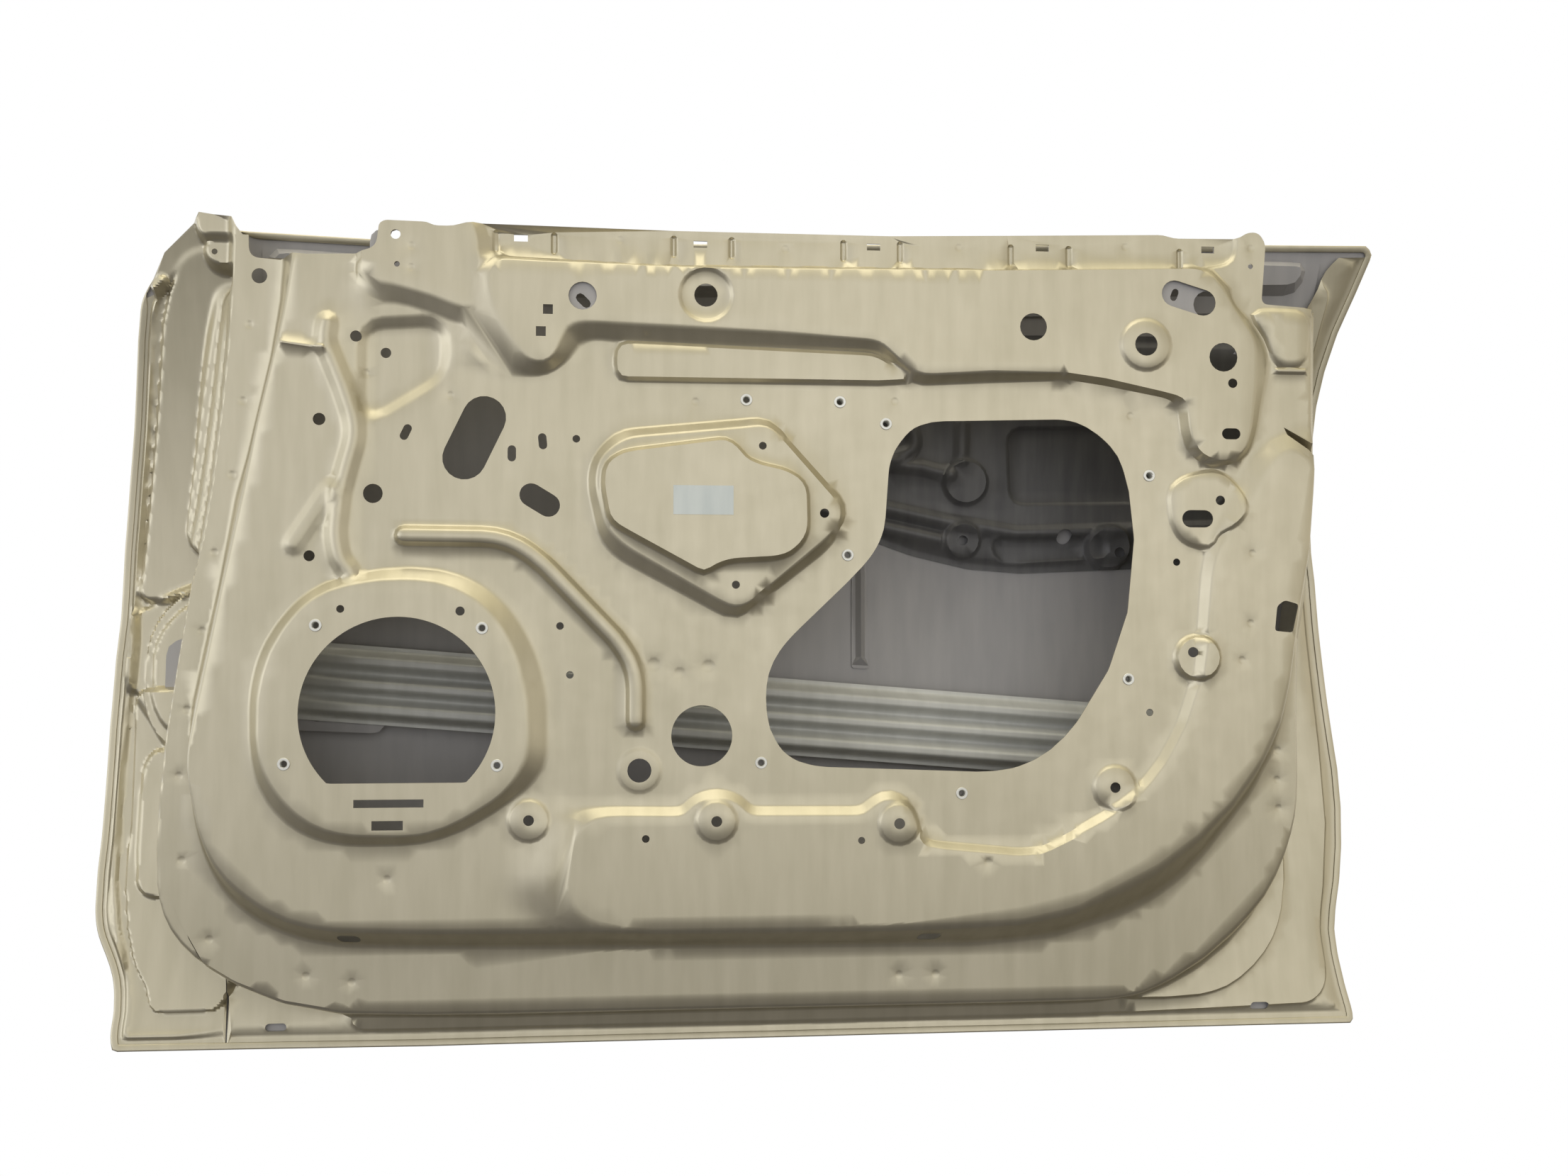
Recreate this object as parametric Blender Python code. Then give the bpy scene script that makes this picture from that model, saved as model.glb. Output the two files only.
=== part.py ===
# Car door shell, right-hand front door without a window frame, seen from inside at azimuth 0.
# Metres, +Z up, +X from the hinge edge to the latch edge, the outer skin toward +Y.
# Shares are parts of the door's length (first) and height (second).
import math

import bpy
import numpy as np
from mathutils import Vector
from mathutils.geometry import delaunay_2d_cdt

# Main sizes of the door
DOOR_LENGTH = 1.186
DOOR_HEIGHT = 0.749
SKIN_CROWN = 0.055
SKIN_CROWN_MIDDLE_SHARE = 0.48
SKIN_CROWN_REACH_SHARE = 0.50
SKIN_BOW = 0.012

# Sheet metal
PANEL_SHEET = 0.0010
SKIN_SHEET = 0.0008
INNER_SHEET = 0.0012
SHEET_GAP = 0.00045
HEM_LIP = 0.009
HEM_CLEAR = 0.0013
SEAM_GAP = 0.0012
SEAM_OVERLAP = 0.008
LAP_DEPTH = 0.0016
STEEP_LIMIT = 0.40
LEAST_RISE = 0.0035

# Heights of the pressed levels toward the cabin
RING_LEVEL = 0.040
SHELF_RISE = 0.014
RIM_RISE = 0.006
PLATEAU_LEVEL = 0.080
BORDER_LEVEL = 0.088
BELT_LEVEL = 0.092
BELT_FLANGE_LEVEL = 0.076
MIRROR_LEVEL = 0.086
SPEAKER_LEVEL = 0.092
PAD_LEVEL = 0.102
BAND_LEVEL = 0.091
ARM_RISE = 0.005
POCKET_RISE = 0.004
RECESS_LEVEL = -0.020
LOWER_FACE_LEVEL = -0.020
RIDGE_LOW_LEVEL = 0.000
RIDGE_HIGH_LEVEL = 0.020
CORNER_LEVEL = 0.030
HINGE_PAD_LEVEL = 0.026
LOW_PAD_LEVEL = -0.006

# Lengths over which a pressed wall runs
STEEP_RUN = 0.005
WALL_RUN = 0.008
SOFT_RUN = 0.012
WIDE_RUN = 0.020
FILLET_SHARE = 0.25

# Corner rounding of outlines
SHARP = 0.003
MID = 0.012
LOOSE = 0.500
TURN_STEP = math.radians(40)

# Facet sizes, the first along the door and the second up it
CROWN_STEP = 0.036
CROWN_BULGE = 0.00005
CROWN_GRID = (0.120, 0.030)
PANEL_GRID = (0.150, 0.075)
PLATE_GRID = (0.040, 0.024)
LARGE_HOLE = 0.020
LARGE_SIDES = 20
PLATE_HOLE_SIDES = 14
HOLE_SIDES = 8
LEAST_AREA = 1e-12

# The mount face on the hinge pillar that is the origin
ORIGIN_SHARES = (0.064, 0.800)

HEM_TOP_SHARES = (
    (0.073, 0.989, SHARP), (0.111, 0.984), (0.209, 0.979), (0.408, 0.983), (0.691, 0.993),
    (0.912, 0.999),
)
HEM_RIGHT_SHARES = (
    (1.000, 1.000, SHARP), (1.005, 0.989, SHARP), (0.995, 0.942), (0.982, 0.891), (0.974, 0.843),
    (0.969, 0.798), (0.967, 0.738), (0.968, 0.664), (0.970, 0.608), (0.974, 0.569),
    (0.977, 0.504), (0.983, 0.414), (0.990, 0.323), (0.991, 0.274), (0.989, 0.224),
    (0.985, 0.181), (0.979, 0.144), (0.976, 0.118), (0.977, 0.088), (0.980, 0.051),
    (0.984, 0.018),
)
HEM_BOTTOM_SHARES = (
    (0.983, 0.005, SHARP), (0.747, 0.002), (0.521, 0.001), (0.249, 0.001),
)
HEM_LEFT_SHARES = (
    (0.021, 0.006, SHARP), (0.018, 0.025), (0.020, 0.049), (0.018, 0.086), (0.011, 0.114),
    (0.003, 0.139), (0.000, 0.168), (0.000, 0.212), (0.002, 0.255), (0.004, 0.386),
    (0.007, 0.468), (0.011, 0.518), (0.013, 0.601), (0.018, 0.688), (0.022, 0.748),
    (0.027, 0.855), (0.031, 0.900), (0.036, 0.915), (0.051, 0.954),
)
SEAM_SHARES = (
    (0.110, 0.966), (0.111, 0.958), (0.110, 0.908), (0.108, 0.837), (0.104, 0.765),
    (0.098, 0.674), (0.092, 0.608), (0.083, 0.557), (0.075, 0.468), (0.067, 0.381),
    (0.064, 0.313), (0.064, 0.248), (0.069, 0.199), (0.078, 0.165), (0.092, 0.127),
    (0.101, 0.100), (0.1025, 0.065),
)
SEAM_FOOT_SHARE = 0.1025
FOOT_BAND_SHARE = 0.03
EDGE_TOP_SHARES = (0.0370, 0.9140)
HINGE_CORNER_SHARES = ((0.0444, 0.9066), (0.0620, 0.9400), (0.0800, 0.9640))
TOP_EDGE_SHARES = (
    (0.1205, 0.966), (0.121, 0.939, MID), (0.152, 0.938), (0.163, 0.932), (0.209, 0.934),
    (0.219, 0.941), (0.221, 0.967, MID), (0.225, 0.971), (0.255, 0.970), (0.260, 0.966),
    (0.274, 0.966), (0.283, 0.971), (0.294, 0.972), (0.434, 0.971), (0.596, 0.971),
    (0.686, 0.976), (0.808, 0.982), (0.816, 0.978), (0.867, 0.979), (0.873, 0.986),
    (0.882, 0.987, MID), (0.888, 0.974), (0.885, 0.917), (0.884, 0.899, MID),
    (0.918, 0.896, MID), (0.932, 0.893), (0.945, 0.905), (0.957, 0.930), (0.966, 0.968),
    (0.976, 0.984, MID),
)

# Pressed levels, each by its upper line and its lower line
PLATEAU_CREST_SHARES = (
    (0.163, 1.030, SHARP), (0.163, 0.932), (0.155, 0.865), (0.149, 0.823), (0.136, 0.734),
    (0.128, 0.653), (0.113, 0.545), (0.101, 0.438), (0.091, 0.363), (0.092, 0.333),
    (0.099, 0.279), (0.110, 0.239), (0.131, 0.205), (0.161, 0.176), (0.194, 0.166),
    (0.258, 0.163), (0.592, 0.159), (0.693, 0.164), (0.734, 0.177), (0.797, 0.224),
    (0.855, 0.296), (0.893, 0.393), (0.903, 0.495), (0.907, 0.539), (0.916, 0.601),
    (0.921, 0.700), (0.921, 0.817), (0.922, 0.890), (0.923, 1.030, SHARP),
)
PLATEAU_FOOT_SHARES = (
    (0.144, 1.040, SHARP), (0.144, 0.932), (0.143, 0.888), (0.137, 0.821), (0.121, 0.705),
    (0.112, 0.658), (0.102, 0.554), (0.092, 0.481), (0.083, 0.418), (0.081, 0.345),
    (0.086, 0.289), (0.093, 0.242), (0.108, 0.196), (0.132, 0.163), (0.165, 0.140),
    (0.194, 0.132), (0.305, 0.127), (0.662, 0.120), (0.725, 0.126), (0.783, 0.152),
    (0.831, 0.195), (0.887, 0.302), (0.906, 0.356), (0.915, 0.406), (0.919, 0.459),
    (0.922, 0.496), (0.929, 0.547), (0.937, 0.671), (0.937, 0.849), (0.940, 1.040, SHARP),
)
RING_CREST_SHARES = (
    (0.110, 1.050, SHARP), (0.111, 0.958), (0.110, 0.908), (0.108, 0.837), (0.104, 0.765),
    (0.098, 0.674), (0.092, 0.608), (0.083, 0.557), (0.075, 0.468), (0.067, 0.381),
    (0.063, 0.313), (0.061, 0.250), (0.063, 0.193), (0.072, 0.158), (0.089, 0.127),
    (0.117, 0.097), (0.152, 0.073), (0.193, 0.061), (0.254, 0.058), (0.679, 0.058),
    (0.767, 0.058), (0.796, 0.063), (0.847, 0.106), (0.894, 0.178), (0.911, 0.232),
    (0.920, 0.275), (0.922, 0.327), (0.921, 0.406), (0.922, 0.496), (0.930, 0.547),
    (0.938, 0.671), (0.939, 0.900), (0.944, 1.050, SHARP),
)
RING_FOOT_SHARES = (
    (0.101, 1.060, SHARP), (0.102, 0.958), (0.101, 0.908), (0.099, 0.837), (0.095, 0.765),
    (0.089, 0.674), (0.083, 0.608), (0.074, 0.557), (0.066, 0.468), (0.058, 0.381),
    (0.054, 0.313), (0.051, 0.250), (0.055, 0.168), (0.064, 0.135), (0.080, 0.110),
    (0.116, 0.069), (0.147, 0.050), (0.188, 0.036), (0.304, 0.032), (0.742, 0.033),
    (0.800, 0.037), (0.857, 0.071), (0.904, 0.133), (0.930, 0.203), (0.937, 0.270),
    (0.938, 0.400), (0.943, 0.500), (0.950, 0.600), (0.952, 0.740), (0.953, 0.870),
    (0.956, 1.060, SHARP),
)
SHELF_SHARES = (
    (0.780, 0.045), (0.830, 0.044), (0.856, 0.046), (0.879, 0.055), (0.902, 0.079),
    (0.920, 0.112), (0.929, 0.147), (0.933, 0.182), (0.934, 0.235), (0.900, 0.240),
    (0.820, 0.120),
)
RIM_SHARES = (
    (0.190, 0.024), (0.521, 0.020), (0.748, 0.021), (0.864, 0.028), (0.949, 0.033, MID),
    (0.961, 0.050), (0.964, 0.080), (0.961, 0.118), (0.968, 0.173), (0.975, 0.254),
    (0.972, 0.355), (0.968, 0.448), (0.961, 0.560), (0.955, 0.700), (0.957, 0.850),
    (0.972, 0.950), (0.940, 0.950), (0.900, 0.500), (0.800, 0.200), (0.200, 0.080),
)
RECESS_SHARES = (
    (0.061, 0.915), (0.090, 0.912), (0.089, 0.876), (0.083, 0.782), (0.079, 0.705),
    (0.075, 0.637), (0.072, 0.588), (0.070, 0.559, MID), (0.042, 0.557, MID), (0.042, 0.630),
    (0.045, 0.693), (0.047, 0.785), (0.052, 0.854),
)
RIDGE_LOW_SHARES = (
    (0.093, 0.912, MID), (0.092, 0.876), (0.088, 0.782), (0.083, 0.705), (0.079, 0.637),
    (0.077, 0.598), (0.090, 0.598), (0.120, 0.912),
)
RIDGE_HIGH_SHARES = (
    (0.101, 0.907, MID), (0.100, 0.842), (0.097, 0.778), (0.093, 0.711), (0.087, 0.643),
    (0.083, 0.597), (0.095, 0.597), (0.120, 0.907),
)
TOP_CORNER_SHARES = (
    (0.078, 0.990), (0.085, 1.040), (0.130, 1.040), (0.130, 0.950), (0.105, 0.955),
    (0.082, 0.957),
)
CORNER_PAD_SHARES = (
    (0.085, 0.962), (0.112, 0.962), (0.112, 0.939), (0.090, 0.939),
)
LOWER_FACE_SHARES = (
    (0.046, 0.500), (0.076, 0.540), (0.070, 0.400), (0.060, 0.300), (0.060, 0.190),
    (0.070, 0.140), (0.110, 0.095), (0.096, 0.052, MID), (0.048, 0.052, MID), (0.045, 0.110),
    (0.036, 0.180), (0.035, 0.240), (0.040, 0.342), (0.042, 0.420),
)
HINGE_PAD_SHARES = (
    (0.090, 0.534), (0.066, 0.529), (0.057, 0.511), (0.053, 0.477), (0.054, 0.439),
    (0.058, 0.407), (0.066, 0.372), (0.085, 0.400),
)
LOW_PAD_SHARES = (
    (0.056, 0.362), (0.045, 0.348), (0.042, 0.319), (0.041, 0.261), (0.041, 0.205),
    (0.045, 0.188), (0.056, 0.186),
)
GROOVE_UPPER_SHARES = (
    (0.061, 0.936), (0.051, 0.902), (0.043, 0.851), (0.040, 0.775), (0.037, 0.713),
    (0.033, 0.620), (0.031, 0.545),
)
GROOVE_LOWER_SHARES = (
    (0.027, 0.421), (0.024, 0.337), (0.017, 0.241), (0.016, 0.170), (0.020, 0.124),
    (0.029, 0.090),
)
MIRROR_CREST_SHARES = (
    (0.209, 1.000), (0.209, 0.906), (0.229, 0.903), (0.259, 0.890), (0.290, 0.870),
    (0.290, 1.000),
)
MIRROR_FOOT_SHARES = (
    (0.203, 1.010), (0.203, 0.906), (0.188, 0.874), (0.183, 0.853), (0.228, 0.877),
    (0.254, 0.866), (0.286, 0.846), (0.303, 0.846), (0.303, 1.010),
)
BELT_FLANGE_SHARES = (
    (0.306, 1.040, SHARP), (0.308, 0.937, MID), (0.430, 0.931), (0.672, 0.936),
    (0.835, 0.943, MID), (0.862, 0.952, MID), (0.862, 1.040, SHARP),
)
BELT_CREST_SHARES = (
    (0.300, 0.928), (0.330, 0.926), (0.459, 0.922), (0.564, 0.925), (0.672, 0.928),
    (0.781, 0.934), (0.835, 0.937, MID), (0.850, 0.911), (0.859, 0.885), (0.872, 0.856),
    (0.874, 0.839), (0.873, 0.800), (0.870, 0.749), (0.866, 0.722), (0.857, 0.708),
    (0.843, 0.706), (0.829, 0.717), (0.824, 0.745), (0.822, 0.780), (0.802, 0.788),
    (0.758, 0.803), (0.725, 0.810), (0.671, 0.811), (0.617, 0.804), (0.601, 0.822),
    (0.588, 0.844), (0.512, 0.853), (0.433, 0.858), (0.364, 0.861), (0.354, 0.856),
    (0.349, 0.839), (0.345, 0.819), (0.337, 0.811), (0.278, 0.811), (0.300, 0.852),
)
BELT_FOOT_SHARES = (
    (0.286, 0.950), (0.300, 0.938), (0.430, 0.929), (0.672, 0.934), (0.832, 0.944),
    (0.860, 0.938), (0.862, 0.900), (0.874, 0.884), (0.889, 0.848), (0.892, 0.820),
    (0.886, 0.786), (0.881, 0.742), (0.873, 0.713), (0.860, 0.700), (0.838, 0.698),
    (0.825, 0.710), (0.817, 0.735), (0.816, 0.778), (0.761, 0.793), (0.728, 0.802),
    (0.673, 0.796), (0.614, 0.791), (0.601, 0.808), (0.585, 0.829), (0.513, 0.831),
    (0.434, 0.832), (0.392, 0.835), (0.371, 0.839), (0.358, 0.812), (0.341, 0.794),
    (0.279, 0.795), (0.250, 0.808), (0.286, 0.848),
)
ARM_SHARES = (
    (0.397, 0.834), (0.584, 0.825), (0.598, 0.811), (0.610, 0.800), (0.586, 0.797),
    (0.396, 0.797, MID), (0.393, 0.805), (0.393, 0.826, MID),
)
SPEAKER_FOOT_SHARES = (
    (0.202, 0.569), (0.244, 0.579), (0.284, 0.570), (0.314, 0.539), (0.333, 0.494),
    (0.345, 0.444), (0.346, 0.344), (0.330, 0.318), (0.305, 0.290), (0.284, 0.271),
    (0.255, 0.256), (0.199, 0.255), (0.172, 0.266), (0.151, 0.290), (0.135, 0.330),
    (0.131, 0.378), (0.131, 0.438), (0.140, 0.489), (0.159, 0.530), (0.177, 0.555),
)
SPEAKER_CREST_SHARES = (
    (0.189, 0.545), (0.223, 0.557), (0.265, 0.555), (0.289, 0.537), (0.307, 0.509),
    (0.320, 0.468), (0.327, 0.419), (0.328, 0.361), (0.315, 0.321), (0.286, 0.290),
    (0.256, 0.270), (0.200, 0.273), (0.179, 0.284), (0.159, 0.310), (0.145, 0.346),
    (0.141, 0.381), (0.141, 0.423), (0.148, 0.475), (0.168, 0.523),
)
PAD_FOOT_SHARES = (
    (0.391, 0.737, MID), (0.499, 0.754, MID), (0.509, 0.748, MID), (0.562, 0.656, MID),
    (0.564, 0.637, MID), (0.552, 0.599, MID), (0.487, 0.519, MID), (0.479, 0.514, MID),
    (0.469, 0.518, MID), (0.390, 0.585, MID), (0.378, 0.607, MID), (0.369, 0.673, MID),
    (0.373, 0.705, MID),
)
BAND_CREST_SHARES = (
    (0.400, 0.722, MID), (0.484, 0.735, MID), (0.501, 0.739, MID), (0.511, 0.729, MID),
    (0.556, 0.649, MID), (0.556, 0.627, MID), (0.543, 0.607, MID), (0.488, 0.534, MID),
    (0.478, 0.531, MID), (0.466, 0.540, MID), (0.398, 0.602, MID), (0.386, 0.622, MID),
    (0.378, 0.672, MID), (0.381, 0.699, MID),
)
PAD_CREST_SHARES = (
    (0.398, 0.705, MID), (0.472, 0.721, MID), (0.480, 0.712, MID), (0.486, 0.699, MID),
    (0.498, 0.691, MID), (0.518, 0.685, MID), (0.530, 0.670, MID), (0.531, 0.612, MID),
    (0.516, 0.589, MID), (0.474, 0.585, MID), (0.463, 0.578, MID), (0.456, 0.570, MID),
    (0.400, 0.618, MID), (0.389, 0.629, MID), (0.384, 0.671, MID), (0.386, 0.693, MID),
)
BORDER_CREST_SHARES = (
    (0.362, 0.288), (0.443, 0.286), (0.450, 0.300), (0.466, 0.309), (0.482, 0.300),
    (0.489, 0.286), (0.575, 0.285), (0.584, 0.298), (0.594, 0.305), (0.607, 0.296),
    (0.613, 0.272), (0.618, 0.250), (0.634, 0.245), (0.689, 0.236), (0.707, 0.238),
    (0.730, 0.255), (0.757, 0.276), (0.783, 0.302), (0.806, 0.344), (0.822, 0.392),
    (0.833, 0.443), (0.838, 0.502), (0.844, 0.595), (0.870, 0.640), (0.890, 0.700),
    (0.905, 0.720), (0.921, 0.700), (0.916, 0.601), (0.907, 0.539), (0.903, 0.495),
    (0.893, 0.393), (0.855, 0.296), (0.797, 0.224), (0.734, 0.177), (0.693, 0.164),
    (0.592, 0.159), (0.400, 0.161), (0.362, 0.180),
)
BORDER_FOOT_SHARES = (
    (0.345, 0.315), (0.357, 0.302), (0.440, 0.300), (0.447, 0.313), (0.466, 0.323),
    (0.485, 0.313), (0.492, 0.300), (0.572, 0.299), (0.580, 0.311), (0.594, 0.319),
    (0.611, 0.307), (0.618, 0.276), (0.622, 0.260), (0.634, 0.256), (0.689, 0.247),
    (0.709, 0.249), (0.728, 0.265), (0.754, 0.288), (0.776, 0.312), (0.798, 0.350),
    (0.813, 0.394), (0.824, 0.443), (0.829, 0.502), (0.833, 0.600), (0.850, 0.660),
    (0.880, 0.740), (0.925, 0.760), (0.938, 0.740), (0.937, 0.671), (0.929, 0.547),
    (0.922, 0.496), (0.919, 0.459), (0.915, 0.406), (0.906, 0.356), (0.887, 0.302),
    (0.831, 0.195), (0.783, 0.152), (0.725, 0.126), (0.662, 0.120), (0.380, 0.126),
    (0.290, 0.200),
)
BEAD_SHARES = (
    (0.240, 0.610), (0.305, 0.609), (0.323, 0.599), (0.342, 0.576), (0.392, 0.494),
    (0.403, 0.468), (0.407, 0.445), (0.407, 0.397),
)
LOCK_BOSS_SHARES = (
    (0.811, 0.660), (0.812, 0.672), (0.821, 0.684), (0.847, 0.694), (0.863, 0.673),
    (0.867, 0.648), (0.860, 0.633), (0.844, 0.620), (0.840, 0.603), (0.821, 0.611),
    (0.813, 0.630),
)
REAR_POCKET_SHARES = (
    (0.876, 0.886, MID), (0.890, 0.889, MID), (0.918, 0.887, MID), (0.919, 0.860),
    (0.916, 0.826, MID), (0.896, 0.825, MID), (0.889, 0.860),
)
FRONT_RIB_SHARES = (
    (0.184, 0.853), (0.182, 0.833), (0.187, 0.814), (0.196, 0.780), (0.203, 0.748),
    (0.205, 0.723), (0.200, 0.695), (0.194, 0.661), (0.191, 0.608), (0.195, 0.581),
    (0.201, 0.570),
)
FRONT_STEP_SHARES = ((0.153, 0.830), (0.181, 0.824))
UPPER_DIAGONAL_SHARES = ((0.213, 0.728), (0.272, 0.790))
LOWER_DIAGONAL_SHARES = ((0.187, 0.662), (0.162, 0.600))
REAR_BAR_SHARES = ((0.896, 0.818), (0.917, 0.818))
BELT_RIB_SHARES = (0.304, 0.346, 0.434, 0.477, 0.561, 0.604, 0.689, 0.734, 0.821)
BELT_RIB_TOP_SHARE = 0.962
BELT_RIB_FOOT_SHARE = 0.943

# Beads, half the flat top and the run of each flank
BEAD_TOP_HALF = 0.0040
BEAD_FLANK = 0.0060
BEAD_RISE = 0.0070
GROOVE_TOP_HALF = 0.0015
GROOVE_FLANK = 0.0035
GROOVE_DEPTH = 0.0050
RIB_TOP_HALF = 0.0030
RIB_FLANK = 0.0055
RIB_RISE = 0.0050
LINE_HALF = 0.0008
LINE_FLANK = 0.0030
LINE_RISE = 0.0025
BELT_RIB_DEPTH = 0.0030

# Round bosses, place in shares, then radius and rise
BOSSES = (
    (0.3302, 0.2841, 0.0150, 0.0025), (0.4658, 0.2818, 0.0150, 0.0025),
    (0.6003, 0.2771, 0.0150, 0.0025), (0.7653, 0.3159, 0.0165, 0.0030),
    (0.8290, 0.4700, 0.0170, 0.0060), (0.7889, 0.8434, 0.0200, 0.0025),
    (0.4573, 0.8921, 0.0200, -0.0030), (0.4098, 0.3400, 0.0160, 0.0010),
)

# Openings of the inner panel
SERVICE_SHARES = (
    (0.627, 0.750), (0.735, 0.755), (0.756, 0.737), (0.771, 0.712), (0.779, 0.669),
    (0.783, 0.612), (0.778, 0.524), (0.763, 0.455), (0.738, 0.394), (0.717, 0.359),
    (0.690, 0.338), (0.661, 0.335), (0.573, 0.341), (0.537, 0.343), (0.517, 0.355),
    (0.504, 0.387), (0.502, 0.425), (0.504, 0.453), (0.513, 0.481), (0.527, 0.504),
    (0.563, 0.558), (0.582, 0.590), (0.591, 0.618), (0.593, 0.660), (0.594, 0.692),
    (0.598, 0.714), (0.611, 0.741),
)
SPEAKER_CENTRE_SHARES = (0.2374, 0.4070)
SPEAKER_RADIUS = 0.0821
SPEAKER_SIDES = 36
SPEAKER_FLAT_SHARE = 0.3289
NOTCH_SHARES = (
    (0.891, 0.532, SHARP), (0.897, 0.539, SHARP), (0.908, 0.534, SHARP), (0.903, 0.500, SHARP),
    (0.889, 0.502, SHARP),
)
# Place in shares and radius
ROUND_HOLES = (
    (0.3673, 0.8875, 0.0122), (0.4573, 0.8921, 0.0102), (0.7027, 0.8622, 0.0122),
    (0.7889, 0.8434, 0.0103), (0.8496, 0.8302, 0.0130), (0.8567, 0.7990, 0.0043),
    (0.2043, 0.8385, 0.0048), (0.2251, 0.8211, 0.0045), (0.1790, 0.7424, 0.0053),
    (0.2175, 0.6578, 0.0083), (0.1731, 0.5860, 0.0047), (0.3630, 0.7236, 0.0033),
    (0.4992, 0.7165, 0.0034), (0.5449, 0.6385, 0.0041), (0.4795, 0.5545, 0.0035),
    (0.3519, 0.5067, 0.0033), (0.3592, 0.4504, 0.0033), (0.1970, 0.5253, 0.0033),
    (0.2811, 0.5232, 0.0039), (0.4553, 0.3796, 0.0265), (0.4098, 0.3400, 0.0104),
    (0.3302, 0.2841, 0.0046), (0.4658, 0.2818, 0.0047), (0.6003, 0.2771, 0.0048),
    (0.4145, 0.2625, 0.0033), (0.5724, 0.2579, 0.0031), (0.7653, 0.3159, 0.0047),
    (0.7931, 0.4046, 0.0033), (0.8254, 0.4765, 0.0046), (0.8151, 0.5845, 0.0033),
    (0.8486, 0.6589, 0.0043), (0.1287, 0.9176, 0.0067), (0.8757, 0.9448, 0.0023),
)
# Holes that also go through the mirror plate
MIRROR_HOLES = (
    (0.2340, 0.9203, 0.0024), (0.2328, 0.9547, 0.0042),
)
# Two end places in shares and the end radius
SLOT_HOLES = (
    (0.2964, 0.7468, 0.2823, 0.6998, 0.0187), (0.2417, 0.7330, 0.2392, 0.7245, 0.0036),
    (0.3164, 0.7103, 0.3164, 0.7012, 0.0036), (0.3383, 0.7247, 0.3389, 0.7157, 0.0036),
    (0.8119, 0.9060, 0.8340, 0.8956, 0.0118), (0.8521, 0.7380, 0.8581, 0.7380, 0.0050),
    (0.8252, 0.6365, 0.8362, 0.6365, 0.0078), (0.1960, 0.1475, 0.2050, 0.1470, 0.0045),
    (0.6220, 0.1390, 0.6320, 0.1388, 0.0045), (0.1335, 0.0285, 0.1433, 0.0285, 0.0034),
    (0.9020, 0.0285, 0.9110, 0.0285, 0.0036), (0.3305, 0.6580, 0.3430, 0.6460, 0.0100),
)
# Place in shares, half width and half height
RECT_HOLES = (
    (0.3373, 0.8453, 0.0042, 0.0042), (0.2312, 0.2813, 0.0130, 0.0040),
    (0.2320, 0.3060, 0.0290, 0.0034),
)
MIRROR_RECT_HOLE = (0.3423, 0.8710, 0.0042, 0.0042)
BELT_RECT_HOLES = (
    (0.3218, 0.9580, 0.0060, 0.0030), (0.4537, 0.9560, 0.0060, 0.0030),
    (0.5838, 0.9580, 0.0060, 0.0030), (0.7134, 0.9620, 0.0060, 0.0030),
    (0.8432, 0.9650, 0.0060, 0.0030),
)
RIVET_NUT_SHARES = (
    (0.1799, 0.5068), (0.2967, 0.5039), (0.1590, 0.3512), (0.3080, 0.3480), (0.4878, 0.7722),
    (0.5577, 0.7714), (0.5924, 0.7462), (0.7942, 0.6883), (0.5634, 0.5906), (0.7768, 0.4444),
    (0.4990, 0.3480), (0.6488, 0.3106),
)

# Reinforcements behind the inner panel, each with its own outline
MIRROR_BACK_SHARES = (
    (0.214, 0.962, MID), (0.286, 0.962, MID), (0.294, 0.915), (0.378, 0.908, MID),
    (0.384, 0.874, MID), (0.350, 0.866, MID), (0.300, 0.880), (0.250, 0.912), (0.214, 0.914, MID),
)
MIRROR_BACK_SLOT = (0.3655, 0.8860, 0.3700, 0.8790, 0.0038)
BELT_BACK_SHARES = (
    (0.316, 0.966, SHARP), (0.500, 0.966), (0.700, 0.970), (0.856, 0.974, SHARP),
    (0.856, 0.959, SHARP), (0.672, 0.949), (0.430, 0.945), (0.316, 0.952, SHARP),
)
REAR_BACK_SHARES = (
    (0.800, 0.928, MID), (0.838, 0.930, MID), (0.852, 0.905), (0.868, 0.870, MID),
    (0.868, 0.830, MID), (0.800, 0.868, MID),
)
REAR_BACK_HOLE = (0.8380, 0.8940, 0.0125)
REAR_BACK_SLOT = (0.8135, 0.9085, 0.8120, 0.9020, 0.0032)
REAR_BACK_LATCH_HOLE = (0.8520, 0.8440, 0.0105)
LATCH_BACK_SHARES = (
    (0.852, 0.592, MID), (0.884, 0.592, MID), (0.882, 0.452, MID), (0.852, 0.452, MID),
)
LATCH_BACK_HOLE = (0.8680, 0.5220, 0.0085)
UPPER_HINGE_BACK_SHARES = (
    (0.054, 0.860, MID), (0.078, 0.860, MID), (0.074, 0.740, MID), (0.050, 0.740, MID),
)
CHECK_BACK_SHARES = (
    (0.047, 0.690, MID), (0.068, 0.690, MID), (0.066, 0.610, MID), (0.046, 0.610, MID),
)

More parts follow.
